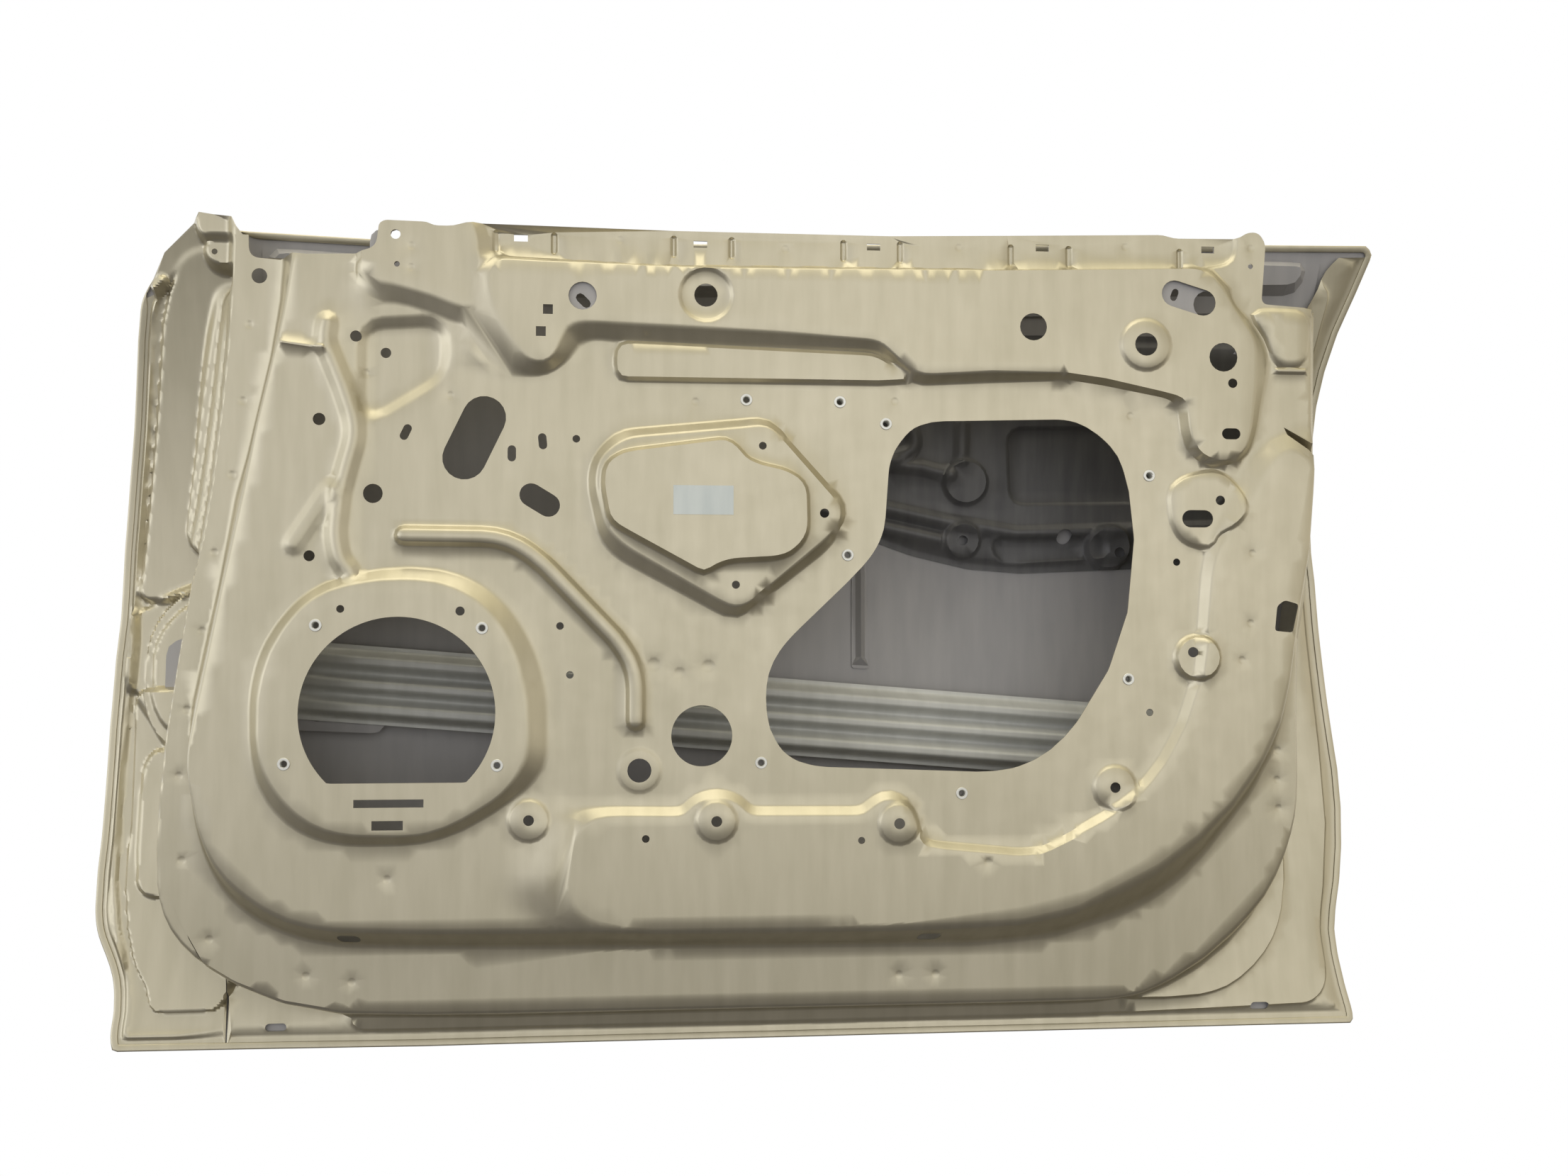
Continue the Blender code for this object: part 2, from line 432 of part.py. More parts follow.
# Parts on the inner face of the outer skin
OUTER_RAIL_SHARES = (
    (0.122, 0.966, SHARP), (0.209, 0.960), (0.408, 0.964), (0.691, 0.974), (0.912, 0.978),
    (0.962, 0.978, SHARP), (0.958, 0.915, SHARP), (0.880, 0.915), (0.691, 0.905),
    (0.209, 0.885), (0.122, 0.885, SHARP),
)
OUTER_RAIL_RIDGE_SHARES = (
    (0.132, 0.958, MID), (0.209, 0.951), (0.408, 0.956), (0.691, 0.966), (0.900, 0.971),
    (0.945, 0.970, MID), (0.940, 0.948, MID), (0.691, 0.940), (0.209, 0.922),
    (0.132, 0.924, MID),
)
OUTER_RAIL_RISE = 0.012
HANDLE_STIFFENER_SHARES = (
    (0.590, 0.880, MID), (0.760, 0.885), (0.925, 0.885, MID), (0.930, 0.750), (0.930, 0.590, MID),
    (0.816, 0.586), (0.724, 0.578), (0.680, 0.583), (0.634, 0.600), (0.580, 0.632),
    (0.520, 0.660, MID), (0.520, 0.800, MID),
)
STIFFENER_RIDGES = (
    ((0.530, 0.730), (0.640, 0.715), (0.662, 0.705)),
    ((0.530, 0.690), (0.600, 0.665), (0.660, 0.645), (0.720, 0.628), (0.900, 0.640)),
    ((0.540, 0.662), (0.600, 0.640), (0.655, 0.622)),
    ((0.672, 0.770), (0.672, 0.725)),
    ((0.600, 0.790), (0.632, 0.765), (0.634, 0.735), (0.600, 0.722)),
)
STIFFENER_POCKET_SHARES = (
    (0.712, 0.762, MID), (0.815, 0.765, MID), (0.890, 0.760, MID), (0.890, 0.672, MID),
    (0.815, 0.676), (0.716, 0.672, MID),
)
STIFFENER_LOW_POCKET_SHARES = (
    (0.700, 0.622, MID), (0.790, 0.626, MID), (0.794, 0.604, MID), (0.706, 0.596, MID),
)
STIFFENER_BOSSES = (
    (0.6760, 0.6960, 0.0190, 0.0060), (0.6740, 0.6210, 0.0150, 0.0060),
    (0.7960, 0.6130, 0.0190, 0.0090),
)
STIFFENER_HOLES = (
    (0.6740, 0.6210, 0.0048), (0.7590, 0.6270, 0.0072), (0.8040, 0.6060, 0.0050),
)
STIFFENER_BASE_RISE = 0.004
STIFFENER_RIDGE_RISE = 0.006
STIFFENER_POCKET_RISE = -0.003
BRACE_SHARES = (
    (0.584, 0.615, SHARP), (0.596, 0.612, SHARP), (0.598, 0.455, SHARP), (0.584, 0.456, SHARP),
)
BRACE_LINE_SHARES = ((0.5905, 0.6000), (0.5910, 0.4700))
BRACE_TOP_HALF = 0.0015
BRACE_FLANK = 0.0030
BRACE_RISE = 0.006

# Impact beam, end places in shares of its middle line
BEAM_FRONT_SHARES = (0.112, 0.447)
BEAM_REAR_SHARES = (0.925, 0.345)
BEAM_DEPTH = 0.042
BEAM_SHEET = 0.0018
BEAM_HALF_WIDTH = 0.036
BEAM_LEAST_LEAN = 1
# Part of the half width, part of the ridge height
BEAM_PROFILE_SHARES = (
    (-1.00, 0.00), (-0.86, 0.00), (-0.72, 1.00), (-0.50, 1.00), (-0.34, 0.20), (-0.24, 0.20),
    (-0.10, 1.00), (0.10, 1.00), (0.24, 0.20), (0.34, 0.20), (0.50, 1.00), (0.72, 1.00),
    (0.86, 0.00), (1.00, 0.00),
)
BEAM_RIDGE = 0.016
# Part of the length, part of the ridge height there
BEAM_TAPER_SHARES = ((0.00, 0.06), (0.03, 0.10), (0.09, 1.00), (0.88, 1.00),
                     (0.94, 0.10), (1.00, 0.06))
FRONT_BRACKET_SHARES = (
    (0.052, 0.485, MID), (0.066, 0.495), (0.120, 0.510), (0.150, 0.495, MID),
    (0.156, 0.415, MID), (0.215, 0.394, MID), (0.210, 0.376, MID), (0.130, 0.380),
    (0.070, 0.395), (0.051, 0.415, MID),
)
FRONT_BRACKET_HOLE = (0.1610, 0.3970, 0.0045)
# Place along the door, then how far outboard the bracket stands there
FRONT_BRACKET_STEPS = ((0.080, 0.0236), (0.106, 0.0446))
REAR_BRACKET_SHARES = (
    (0.868, 0.400, MID), (0.930, 0.405), (0.958, 0.410, MID), (0.966, 0.330, MID), (0.930, 0.290),
    (0.868, 0.300, MID),
)
BRACKET_DEPTH = 0.0446
BRACKET_SHEET = 0.0015
BACK_GAP = 0.0006
BRACKET_GAP = 0.0009
BELT_BACK_DEPTH = 0.0045
MIRROR_BACK_DEPTH = 0.0027
LAP_START_SHARE = 0.150
LAP_RUN_SHARE = 0.030
RAIL_GAP = 0.0005

# Rivet nuts
NUT_BODY_RADIUS = 0.0042
NUT_HEAD_RADIUS = 0.0053
NUT_BORE_RADIUS = 0.0030
NUT_HEAD_HEIGHT = 0.0008
NUT_BODY_LENGTH = 0.0110
NUT_CLEAR = 0.0002
NUT_SIDES = 12


def crown(x, z):
    """How far the outer surface stands outboard, a flat parabola up the door and one along it."""
    up_share = z / DOOR_HEIGHT - SKIN_CROWN_MIDDLE_SHARE
    along_share = 2 * x / DOOR_LENGTH - 1
    rounded = SKIN_CROWN * (1 - (up_share / SKIN_CROWN_REACH_SHARE) ** 2)
    return rounded + SKIN_BOW * (1 - along_share ** 2)


def place(shares):
    """A place in metres from its two shares."""
    return np.array((shares[0] * DOOR_LENGTH, shares[1] * DOOR_HEIGHT))


def corner_curve(before, corner, after, radius):
    """Points of one rounded corner, a quadratic curve between its two cut points."""
    back = before - corner
    ahead = after - corner
    back_length = np.linalg.norm(back)
    ahead_length = np.linalg.norm(ahead)
    cut = min(radius, back_length / 2, ahead_length / 2)
    start = corner + back * cut / back_length
    end = corner + ahead * cut / ahead_length
    turn = math.pi - math.acos(max(-1, min(1, back @ ahead / back_length / ahead_length)))
    steps = math.ceil(turn / TURN_STEP)
    t = np.linspace(0, 1, steps + 1)[:, None] if steps > 1 else np.array(((0.5,),))
    return (1 - t) ** 2 * start + 2 * t * (1 - t) * corner + t ** 2 * end


def shortened(line, closed):
    """A line with its long pieces parted evenly, each a hair convex to keep facets sound."""
    ends = np.roll(line, -1, axis=0) if closed else line[1:]
    starts = line if closed else line[:-1]
    parts = []
    for start, end in zip(starts, ends):
        pieces = max(1, math.ceil(np.linalg.norm(end - start) / CROWN_STEP))
        t = np.arange(pieces)[:, None] / pieces
        side = np.array((start[1] - end[1], end[0] - start[0]))
        bulge = side / np.linalg.norm(side) * CROWN_BULGE
        parts.append(start + (end - start) * t + bulge * 4 * t * (1 - t))
    if not closed:
        parts.append(line[-1:])
    return np.concatenate(parts)


def outline(shares, closed=True):
    """A smooth line through a table of shares, each corner rounded by its own radius."""
    places = [place(entry) for entry in shares]
    radii = [entry[2] if len(entry) > 2 else LOOSE for entry in shares]
    count = len(places)
    parts = []
    for index in range(count):
        if not closed and index in (0, count - 1):
            parts.append(places[index][None, :])
            continue
        before = places[index - 1]
        after = places[(index + 1) % count]
        parts.append(corner_curve(before, places[index], after, radii[index]))
    points = np.concatenate(parts)
    apart = np.linalg.norm(points - np.roll(points, 1, axis=0), axis=1)
    keep = apart > SEAM_GAP / 4
    if not closed:
        keep[0] = True
    return points[keep]


def circle(centre, radius, sides):
    """A round outline."""
    angle = np.arange(sides) * 2 * math.pi / sides
    return centre + radius * np.stack((np.cos(angle), np.sin(angle)), axis=1)


def slot(first, second, radius, sides=5):
    """A slot outline, two half circles round its two end places."""
    along = second - first
    heading = math.atan2(along[1], along[0])
    swing = np.linspace(-math.pi / 2, math.pi / 2, sides)
    ahead = heading + swing
    back = ahead + math.pi
    far = second + radius * np.stack((np.cos(ahead), np.sin(ahead)), axis=1)
    near = first + radius * np.stack((np.cos(back), np.sin(back)), axis=1)
    return np.concatenate((far, near))


def rectangle(centre, half_width, half_height):
    """A rectangle outline."""
    signs = np.array(((-1, -1), (1, -1), (1, 1), (-1, 1)))
    return centre + signs * np.array((half_width, half_height))


def line_distance(points, line, closed=True):
    """Distance of each point from a line of short straight pieces."""
    ends = np.roll(line, -1, axis=0) if closed else line[1:]
    starts = line if closed else line[:-1]
    nearest = np.full(len(points), np.inf)
    for start, end in zip(starts, ends):
        along = end - start
        share = ((points - start) @ along) / (along @ along)
        foot = start + np.clip(share, 0, 1)[:, None] * along
        nearest = np.minimum(nearest, np.linalg.norm(points - foot, axis=1))
    return nearest


def is_inside(points, ring):
    """Whether each point lies inside a closed line, counted by crossings."""
    inside = np.zeros(len(points), dtype=bool)
    for start, end in zip(ring, np.roll(ring, -1, axis=0)):
        if start[1] == end[1]:
            continue
        between = (start[1] > points[:, 1]) != (end[1] > points[:, 1])
        share = (points[:, 1] - start[1]) / (end[1] - start[1])
        inside ^= between & (points[:, 0] < start[0] + share * (end[0] - start[0]))
    return inside


def outside_distance(points, ring):
    """Distance from a closed line, negative inside it."""
    return line_distance(points, ring) * np.where(is_inside(points, ring), -1, 1)


def ease(share):
    """A straight fall from one to zero with a rounded start and end."""
    t = np.clip(share, 0, 1)
    steep = 1 / (1 - FILLET_SHARE)
    start = 1 - steep * t ** 2 / (2 * FILLET_SHARE)
    middle = 1 - steep * (t - FILLET_SHARE / 2)
    end = steep * (1 - t) ** 2 / (2 * FILLET_SHARE)
    return np.where(t < FILLET_SHARE, start, np.where(t > 1 - FILLET_SHARE, end, middle))


def offset_line(line, distance, closed=True):
    """A line moved sideways by a distance, corners mitred."""
    if closed:
        before = line - np.roll(line, 1, axis=0)
        after = np.roll(line, -1, axis=0) - line
    else:
        step = np.diff(line, axis=0)
        before = np.concatenate((step[:1], step))
        after = np.concatenate((step, step[-1:]))
    before = before / np.linalg.norm(before, axis=1)[:, None]
    after = after / np.linalg.norm(after, axis=1)[:, None]
    side = np.stack((before[:, 1] + after[:, 1], -before[:, 0] - after[:, 0]), axis=1)
    side = side / np.linalg.norm(side, axis=1)[:, None]
    mitre = np.clip(side[:, 0] * after[:, 1] - side[:, 1] * after[:, 0], 0.5, 1)
    return line + side * (distance / mitre)[:, None]


def is_clockwise(ring):
    """Whether a closed line runs clockwise."""
    after = np.roll(ring, -1, axis=0)
    return np.sum(ring[:, 0] * after[:, 1] - after[:, 0] * ring[:, 1]) < 0


def grown(ring, distance):
    """A closed line moved outward by a distance."""
    return offset_line(ring, -distance if is_clockwise(ring) else distance)


def pressed_features():
    """All pressed shapes in order, as kind, line or pair of lines, amount, run."""
    features = [
        ("follow", shortened(outline(RIM_SHARES), True), RIM_RISE, STEEP_RUN),
        ("follow", shortened(outline(SHELF_SHARES), True), SHELF_RISE, STEEP_RUN),
        ("level", outline(RECESS_SHARES), RECESS_LEVEL, STEEP_RUN),
        ("level", outline(LOWER_FACE_SHARES), LOWER_FACE_LEVEL, WALL_RUN),
        ("level", outline(RIDGE_LOW_SHARES), RIDGE_LOW_LEVEL, STEEP_RUN),
        ("level", outline(RIDGE_HIGH_SHARES), RIDGE_HIGH_LEVEL, STEEP_RUN),
        ("level", outline(TOP_CORNER_SHARES), CORNER_LEVEL, WIDE_RUN),
        ("level", outline(CORNER_PAD_SHARES), CORNER_LEVEL, WALL_RUN),
        ("level", outline(LOW_PAD_SHARES), LOW_PAD_LEVEL, STEEP_RUN),
        ("level", outline(HINGE_PAD_SHARES), HINGE_PAD_LEVEL, WALL_RUN),
        ("wall", (outline(RING_CREST_SHARES), outline(RING_FOOT_SHARES)), RING_LEVEL, 0),
        ("wall", (outline(PLATEAU_CREST_SHARES), outline(PLATEAU_FOOT_SHARES)),
         PLATEAU_LEVEL, 0),
        ("wall", (outline(BORDER_CREST_SHARES), outline(BORDER_FOOT_SHARES)),
         BORDER_LEVEL - PLATEAU_LEVEL, 1),
        ("wall", (outline(MIRROR_CREST_SHARES), outline(MIRROR_FOOT_SHARES)),
         MIRROR_LEVEL, 0),
        ("level", outline(BELT_FLANGE_SHARES), BELT_FLANGE_LEVEL, STEEP_RUN),
        ("wall", (outline(BELT_CREST_SHARES), outline(BELT_FOOT_SHARES)), BELT_LEVEL, 0),
        ("lift", outline(ARM_SHARES), ARM_RISE, STEEP_RUN),
        ("wall", (outline(SPEAKER_CREST_SHARES), outline(SPEAKER_FOOT_SHARES)),
         SPEAKER_LEVEL, 0),
        ("wall", (outline(BAND_CREST_SHARES), outline(PAD_FOOT_SHARES)), BAND_LEVEL, 0),
        ("level", outline(PAD_CREST_SHARES), PAD_LEVEL, STEEP_RUN),
        ("lift", outline(LOCK_BOSS_SHARES), POCKET_RISE, STEEP_RUN),
        ("lift", outline(REAR_POCKET_SHARES), POCKET_RISE, STEEP_RUN),
    ]
    features += [("bead", outline(BEAD_SHARES, False), BEAD_RISE, BEAD_TOP_HALF, BEAD_FLANK)]
    grooves = (GROOVE_UPPER_SHARES, GROOVE_LOWER_SHARES)
    features += [("bead", outline(line, False), -GROOVE_DEPTH, GROOVE_TOP_HALF, GROOVE_FLANK)
                 for line in grooves]
    ribs = (FRONT_RIB_SHARES, UPPER_DIAGONAL_SHARES, LOWER_DIAGONAL_SHARES)
    features += [("bead", outline(line, False), RIB_RISE, RIB_TOP_HALF, RIB_FLANK)
                 for line in ribs]
    lines = (FRONT_STEP_SHARES, REAR_BAR_SHARES)
    features += [("bead", outline(line, False), LINE_RISE, LINE_HALF, LINE_FLANK)
                 for line in lines]
    for share in BELT_RIB_SHARES:
        ends = ((share, BELT_RIB_TOP_SHARE), (share, BELT_RIB_FOOT_SHARE))
        features.append(("bead", outline(ends, False), -BELT_RIB_DEPTH, LINE_HALF, LINE_FLANK))
    for along, up, radius, rise in BOSSES:
        ring = circle(place((along, up)), radius, NUT_SIDES)
        features.append(("lift", ring, rise, STEEP_RUN))
    return features


def reach_of(points, feature):
    """How much of a pressed shape each point gets, from zero to one."""
    kind, line = feature[0], feature[1]
    if kind == "wall":
        past_crest = np.maximum(outside_distance(points, line[0]), 0)
        before_foot = np.maximum(-outside_distance(points, line[1]), 0)
        return ease(past_crest / np.maximum(past_crest + before_foot, PANEL_SHEET / 100))
    if kind == "bead":
        return ease((line_distance(points, line, False) - feature[3]) / feature[4])
    return ease(outside_distance(points, line) / feature[3])


def form_height(points, features, hem):
    """Height toward the cabin of the pressed form, the hem left flat beside its fold."""
    flange = PANEL_SHEET - crown(points[:, 0], points[:, 1])
    height = flange.copy()
    for feature in features:
        kind, amount = feature[0], feature[2]
        reach = reach_of(points, feature)
        if kind == "level" or (kind == "wall" and feature[3] == 0):
            height = height + (amount - height) * reach
        elif kind == "follow":
            height = height + np.maximum(flange + amount - height, 0) * reach
        else:
            height = height + amount * reach
    height = np.maximum(height, flange + LEAST_RISE)
    free = 1 - ease((line_distance(points, hem, False) - HEM_LIP - HEM_CLEAR) / SOFT_RUN)
    return flange + (height - flange) * free


def feature_rows(features):
    """The lines where the form bends, as open or closed rows of points."""
    rows = []
    for feature in features:
        kind, line = feature[0], feature[1]
        if kind == "wall":
            rows += [(line[0], True), (line[1], True)]
        elif kind == "bead":
            far = feature[3] + feature[4]
            is_narrow = feature[3] <= GROOVE_TOP_HALF
            sides = (-far, 0, far) if is_narrow else (-far, -feature[3], feature[3], far)
            rows += [(offset_line(line, side, False), False) for side in sides]
        else:
            rows += [(line, True), (grown(line, feature[3]), True)]
    return rows


def panel_holes():
    """All openings cut through the inner panel."""
    holes = [circle(place((along, up)), radius,
                    LARGE_SIDES if radius > LARGE_HOLE else HOLE_SIDES)
             for along, up, radius in ROUND_HOLES + MIRROR_HOLES]
    holes += [slot(place(entry[0:2]), place(entry[2:4]), entry[4]) for entry in SLOT_HOLES]
    holes += [rectangle(place(entry[0:2]), entry[2], entry[3])
              for entry in RECT_HOLES + BELT_RECT_HOLES + (MIRROR_RECT_HOLE,)]
    holes += [circle(place(entry), NUT_BODY_RADIUS + NUT_CLEAR, NUT_SIDES)
              for entry in RIVET_NUT_SHARES]
    holes += [outline(SERVICE_SHARES), outline(NOTCH_SHARES), speaker_opening()]
    return holes


def speaker_opening():
    """A round opening with a flat foot."""
    centre = place(SPEAKER_CENTRE_SHARES)
    ring = circle(centre, SPEAKER_RADIUS, SPEAKER_SIDES)
    flat = SPEAKER_FLAT_SHARE * DOOR_HEIGHT
    return np.stack((ring[:, 0], np.maximum(ring[:, 1], flat)), axis=1)


def triangulate(ring, holes, rows, spacing):
    """Triangles over a closed line less its holes, with the rows of points kept as edges."""
    low = ring.min(axis=0)
    high = ring.max(axis=0)
    across = np.arange(low[0] + spacing[0] / 2, high[0], spacing[0])
    upward = np.arange(low[1] + spacing[1] / 2, high[1], spacing[1])
    grid = np.stack(np.meshgrid(across, upward), axis=-1).reshape(-1, 2)
    grid = grid[outside_distance(grid, ring) < -spacing[1] / 4]
    points = []
    edges = []
    for line, closed in [(ring, True)] + [(hole, True) for hole in holes] + rows:
        first = len(points)
        points += [Vector(point) for point in line]
        last = len(points) - 1
        edges += [(index, index + 1) for index in range(first, last)]
        if closed:
            edges.append((last, first))
    points += [Vector(point) for point in grid]
    stretch = Vector((spacing[1] / spacing[0], 1))
    points = [point * stretch for point in points]
    made = delaunay_2d_cdt(points, edges, [], 0, SEAM_GAP / 100)
    places = np.array([tuple(point) for point in made[0]]) / np.array(stretch)
    faces = np.array([tuple(face) for face in made[2]])
    middles = places[faces].mean(axis=1)
    keep = is_inside(middles, ring)
    for hole in holes:
        keep &= ~is_inside(middles, hole)
    faces = faces[keep]
    used, faces = np.unique(faces, return_inverse=True)
    return places[used], faces.reshape(-1, 3)


def face_outward(places, faces):
    """Triangles turned so that all run the same way round."""
    first, second, third = (places[faces[:, index]] for index in range(3))
    turn = (second[:, 0] - first[:, 0]) * (third[:, 1] - first[:, 1])
    turn -= (second[:, 1] - first[:, 1]) * (third[:, 0] - first[:, 0])
    faces = faces.copy()
    flip = turn < 0
    faces[flip] = faces[flip][:, ::-1]
    return faces


def border_edges(faces):
    """Edges of triangles that only one triangle has, in that triangle's direction."""
    edges = np.concatenate((faces[:, [0, 1]], faces[:, [1, 2]], faces[:, [2, 0]]))
    seen = set(map(tuple, edges.tolist()))
    return [edge for edge in seen if (edge[1], edge[0]) not in seen]


def add_mesh(name, vertices, faces, material, smooth=False):
    """A mesh object of the scene, moved so that the mount face is the origin."""
    shift = mount_origin()
    mesh = bpy.data.meshes.new(name)
    mesh.from_pydata([tuple(np.asarray(vertex) - shift) for vertex in vertices], [], faces)
    mesh.materials.append(material)
    for polygon in mesh.polygons:
        polygon.use_smooth = smooth
    mesh.update()
    thing = bpy.data.objects.new(name, mesh)
    bpy.context.collection.objects.link(thing)
    return thing


def mount_origin():
    """The middle of the flat hinge face."""
    along, up = place(ORIGIN_SHARES)
    return np.array((along, -RECESS_LEVEL + LAP_DEPTH, up))


def slab(name, places, faces, front, thickness, material, least_lean=STEEP_LIMIT):
    """A closed sheet between a front surface and the same surface one thickness behind."""
    faces = face_outward(places, faces)
    corners = np.stack((places[:, 0], front, places[:, 1]), axis=1)
    across = np.cross(corners[faces[:, 1]] - corners[faces[:, 0]],
                      corners[faces[:, 2]] - corners[faces[:, 0]])
    normal = np.zeros((len(places), 3))
    for index in range(3):
        np.add.at(normal, faces[:, index], across)
    lean = np.abs(normal[:, 1]) / np.maximum(np.linalg.norm(normal, axis=1), LEAST_AREA)
    behind = corners.copy()
    behind[:, 1] += thickness / np.maximum(lean, least_lean)
    count = len(places)
    sides = []
    for start, end in border_edges(faces):
        sides += [(end, start, start + count), (end, start + count, end + count)]
    back = faces[:, ::-1] + count
    every = [tuple(face) for face in faces.tolist()] + sides
    every += [tuple(face) for face in back.tolist()]
    return add_mesh(name, np.concatenate((corners, behind)), every, material)


def make_material(name, colour, metallic, roughness):
    """A plain painted or bare metal material."""
    material = bpy.data.materials.new(name)
    material.use_nodes = True
    shader = material.node_tree.nodes["Principled BSDF"]
    shader.inputs["Base Color"].default_value = (*colour, 1)
    shader.inputs["Metallic"].default_value = metallic
    shader.inputs["Roughness"].default_value = roughness
    material.diffuse_color = (*colour, 1)
    return material


def hem_outline():
    """The whole outer edge of the door, clockwise from the top of the hinge edge."""
    whole = HEM_TOP_SHARES + HEM_RIGHT_SHARES + HEM_BOTTOM_SHARES + HEM_LEFT_SHARES
    return shortened(outline(whole), True)


def held_edge():
    """The edge the two inner pressings share with the fold, from top rear round to top front."""
    ring = offset_line(hem_outline(), HEM_CLEAR)
    corner = place(HEM_RIGHT_SHARES[1])
    start = int(np.argmin(np.linalg.norm(ring - corner, axis=1)))
    ring = np.roll(ring, -start, axis=0)
    last = int(np.argmin(np.linalg.norm(ring - place(EDGE_TOP_SHARES), axis=1)))
    return ring[:last + 1]


def flange_rows(edge):
    """The two lines between which the form leaves the flat flange."""
    near = HEM_LIP + HEM_CLEAR
    return [(offset_line(edge, near, False), False),
            (offset_line(edge, near + SOFT_RUN, False), False)]


def split_edge(edge):
    """The held edge parted at the seam, the rear part and the front part."""
    seam = SEAM_FOOT_SHARE * DOOR_LENGTH
    low = edge[:, 1] < DOOR_HEIGHT * FOOT_BAND_SHARE
    past = np.nonzero(low & (edge[:, 0] < seam))[0][0]
    before, after = edge[past - 1], edge[past]
    share = (before[0] - seam) / (before[0] - after[0])
    foot = before + share * (after - before)
    half = np.array((SEAM_GAP / 2, 0))
    rear = np.concatenate((edge[:past], (foot + half)[None, :]))
    front = np.concatenate(((foot - half)[None, :], edge[past:]))
    return rear, front


def build_inner_panel(features, material):
    """The main pressing of the door's inner side."""
    edge = held_edge()
    rear, _ = split_edge(edge)
    seam = outline(SEAM_SHARES, False)[::-1] + np.array((SEAM_GAP / 2, 0))
    top = outline(TOP_EDGE_SHARES, False)
    ring = np.concatenate((rear, seam, top))
    holes = panel_holes()
    rows = feature_rows(features) + flange_rows(edge)
    places, faces = triangulate(ring, holes, rows, PANEL_GRID)
    front = -form_height(places, features, edge)
    return slab("inner_panel", places, faces, front, PANEL_SHEET, material)


def build_hinge_panel(features, material):
    """The front pressing that carries the hinges, lapped under the main pressing."""
    edge = held_edge()
    _, front_edge = split_edge(edge)
    lap = outline(SEAM_SHARES, False)
    under = np.clip((lap[:, 1] / DOOR_HEIGHT - LAP_START_SHARE) / LAP_RUN_SHARE, 0, 1)
    lap[:, 0] += SEAM_OVERLAP * under - SEAM_GAP / 2
    corner = np.array([place(shares) for shares in HINGE_CORNER_SHARES])
    ring = np.concatenate((front_edge, corner, lap))
    rows = feature_rows(features) + flange_rows(edge)
    places, faces = triangulate(ring, [], rows, PANEL_GRID)
    height = form_height(places, features, edge)
    apart = line_distance(places, edge, False)
    sunk = (1 - ease((apart - HEM_LIP) / SOFT_RUN)) * LAP_DEPTH
    return slab("hinge_panel", places, faces, sunk - height, PANEL_SHEET, material)


def build_outer_skin(material):
    """The crowned outer sheet with its edge folded over the inner pressings."""
    rim = hem_outline()
    fold = offset_line(rim, SKIN_SHEET)
    lip = offset_line(rim, HEM_LIP)
    outer_places, outer_faces = triangulate(rim, [], [], CROWN_GRID)
    inner_places, inner_faces = triangulate(fold, [], [], CROWN_GRID)
    outer_faces = face_outward(outer_places, outer_faces)
    inner_faces = face_outward(inner_places, inner_faces)
    vertices = []
    faces = []

    def add_row(line, depth):
        first = len(vertices)
        outward = crown(line[:, 0], line[:, 1]) + depth
        vertices.extend(np.stack((line[:, 0], outward, line[:, 1]), axis=1))
        return first

    face_depth = SHEET_GAP + SKIN_SHEET
    lip_back = -PANEL_SHEET - SHEET_GAP
    outer_first = add_row(outer_places, face_depth)
    faces += [tuple(outer_first + index for index in face[::-1])
              for face in outer_faces.tolist()]
    inner_first = add_row(inner_places, SHEET_GAP)
    faces += [tuple(inner_first + index for index in face) for face in inner_faces.tolist()]
    rows = [match_row(rim, outer_places, outer_first),
            list(range(add_row(rim, lip_back - SKIN_SHEET), len(vertices)))]
    rows.append(list(range(add_row(lip, lip_back - SKIN_SHEET), len(vertices))))
    rows.append(list(range(add_row(lip, lip_back), len(vertices))))
    rows.append(list(range(add_row(fold, lip_back), len(vertices))))
    rows.append(match_row(fold, inner_places, inner_first))
    count = len(rim)
    for near, far in zip(rows[:-1], rows[1:]):
        for index in range(count):
            after = (index + 1) % count
            faces.append((near[index], far[index], far[after], near[after]))
    return add_mesh("outer_skin", vertices, faces, material)


def match_row(line, places, first):
    """The numbers of the triangulated places that lie on a line's points."""
    return [first + int(np.argmin(np.linalg.norm(places - point, axis=1))) for point in line]


def turned(profile, sides):
    """Vertices and faces of a closed profile of radius and depth turned about the depth axis."""
    angle = np.arange(sides) * 2 * math.pi / sides
    vertices = []
    for radius, depth in profile:
        ring = np.stack((radius * np.cos(angle), np.full(sides, depth),
                         radius * np.sin(angle)), axis=1)
        vertices.extend(ring)
    faces = []
    count = len(profile)
    for row in range(count):
        near = row * sides
        far = ((row + 1) % count) * sides
        for index in range(sides):
            after = (index + 1) % sides
            faces.append((near + index, far + index, far + after, near + after))
    return np.array(vertices), faces


def build_backing(name, shares, holes, features, carrier_depth, thickness, material):
    """A plate pressed to the back of an inner pressing, close behind it all over."""
    hem = held_edge()
    places, faces = triangulate(outline(shares), holes, feature_rows(features), PLATE_GRID)
    front = carrier_depth - form_height(places, features, hem)
    return slab(name, places, faces, front, thickness, material)


def build_skin_part(name, shares, holes, shapes, base_rise, thickness, material):
    """A pressed sheet on the inner face of the skin, its own shapes raised toward the cabin."""
    ring = shortened(outline(shares), True)
    places, faces = triangulate(ring, holes, feature_rows(shapes), CROWN_GRID)
    height = np.full(len(places), base_rise)
    for shape in shapes:
        height = height + shape[2] * reach_of(places, shape)
    front = crown(places[:, 0], places[:, 1]) - RAIL_GAP - thickness - height
    return slab(name, places, faces, front, thickness, material)


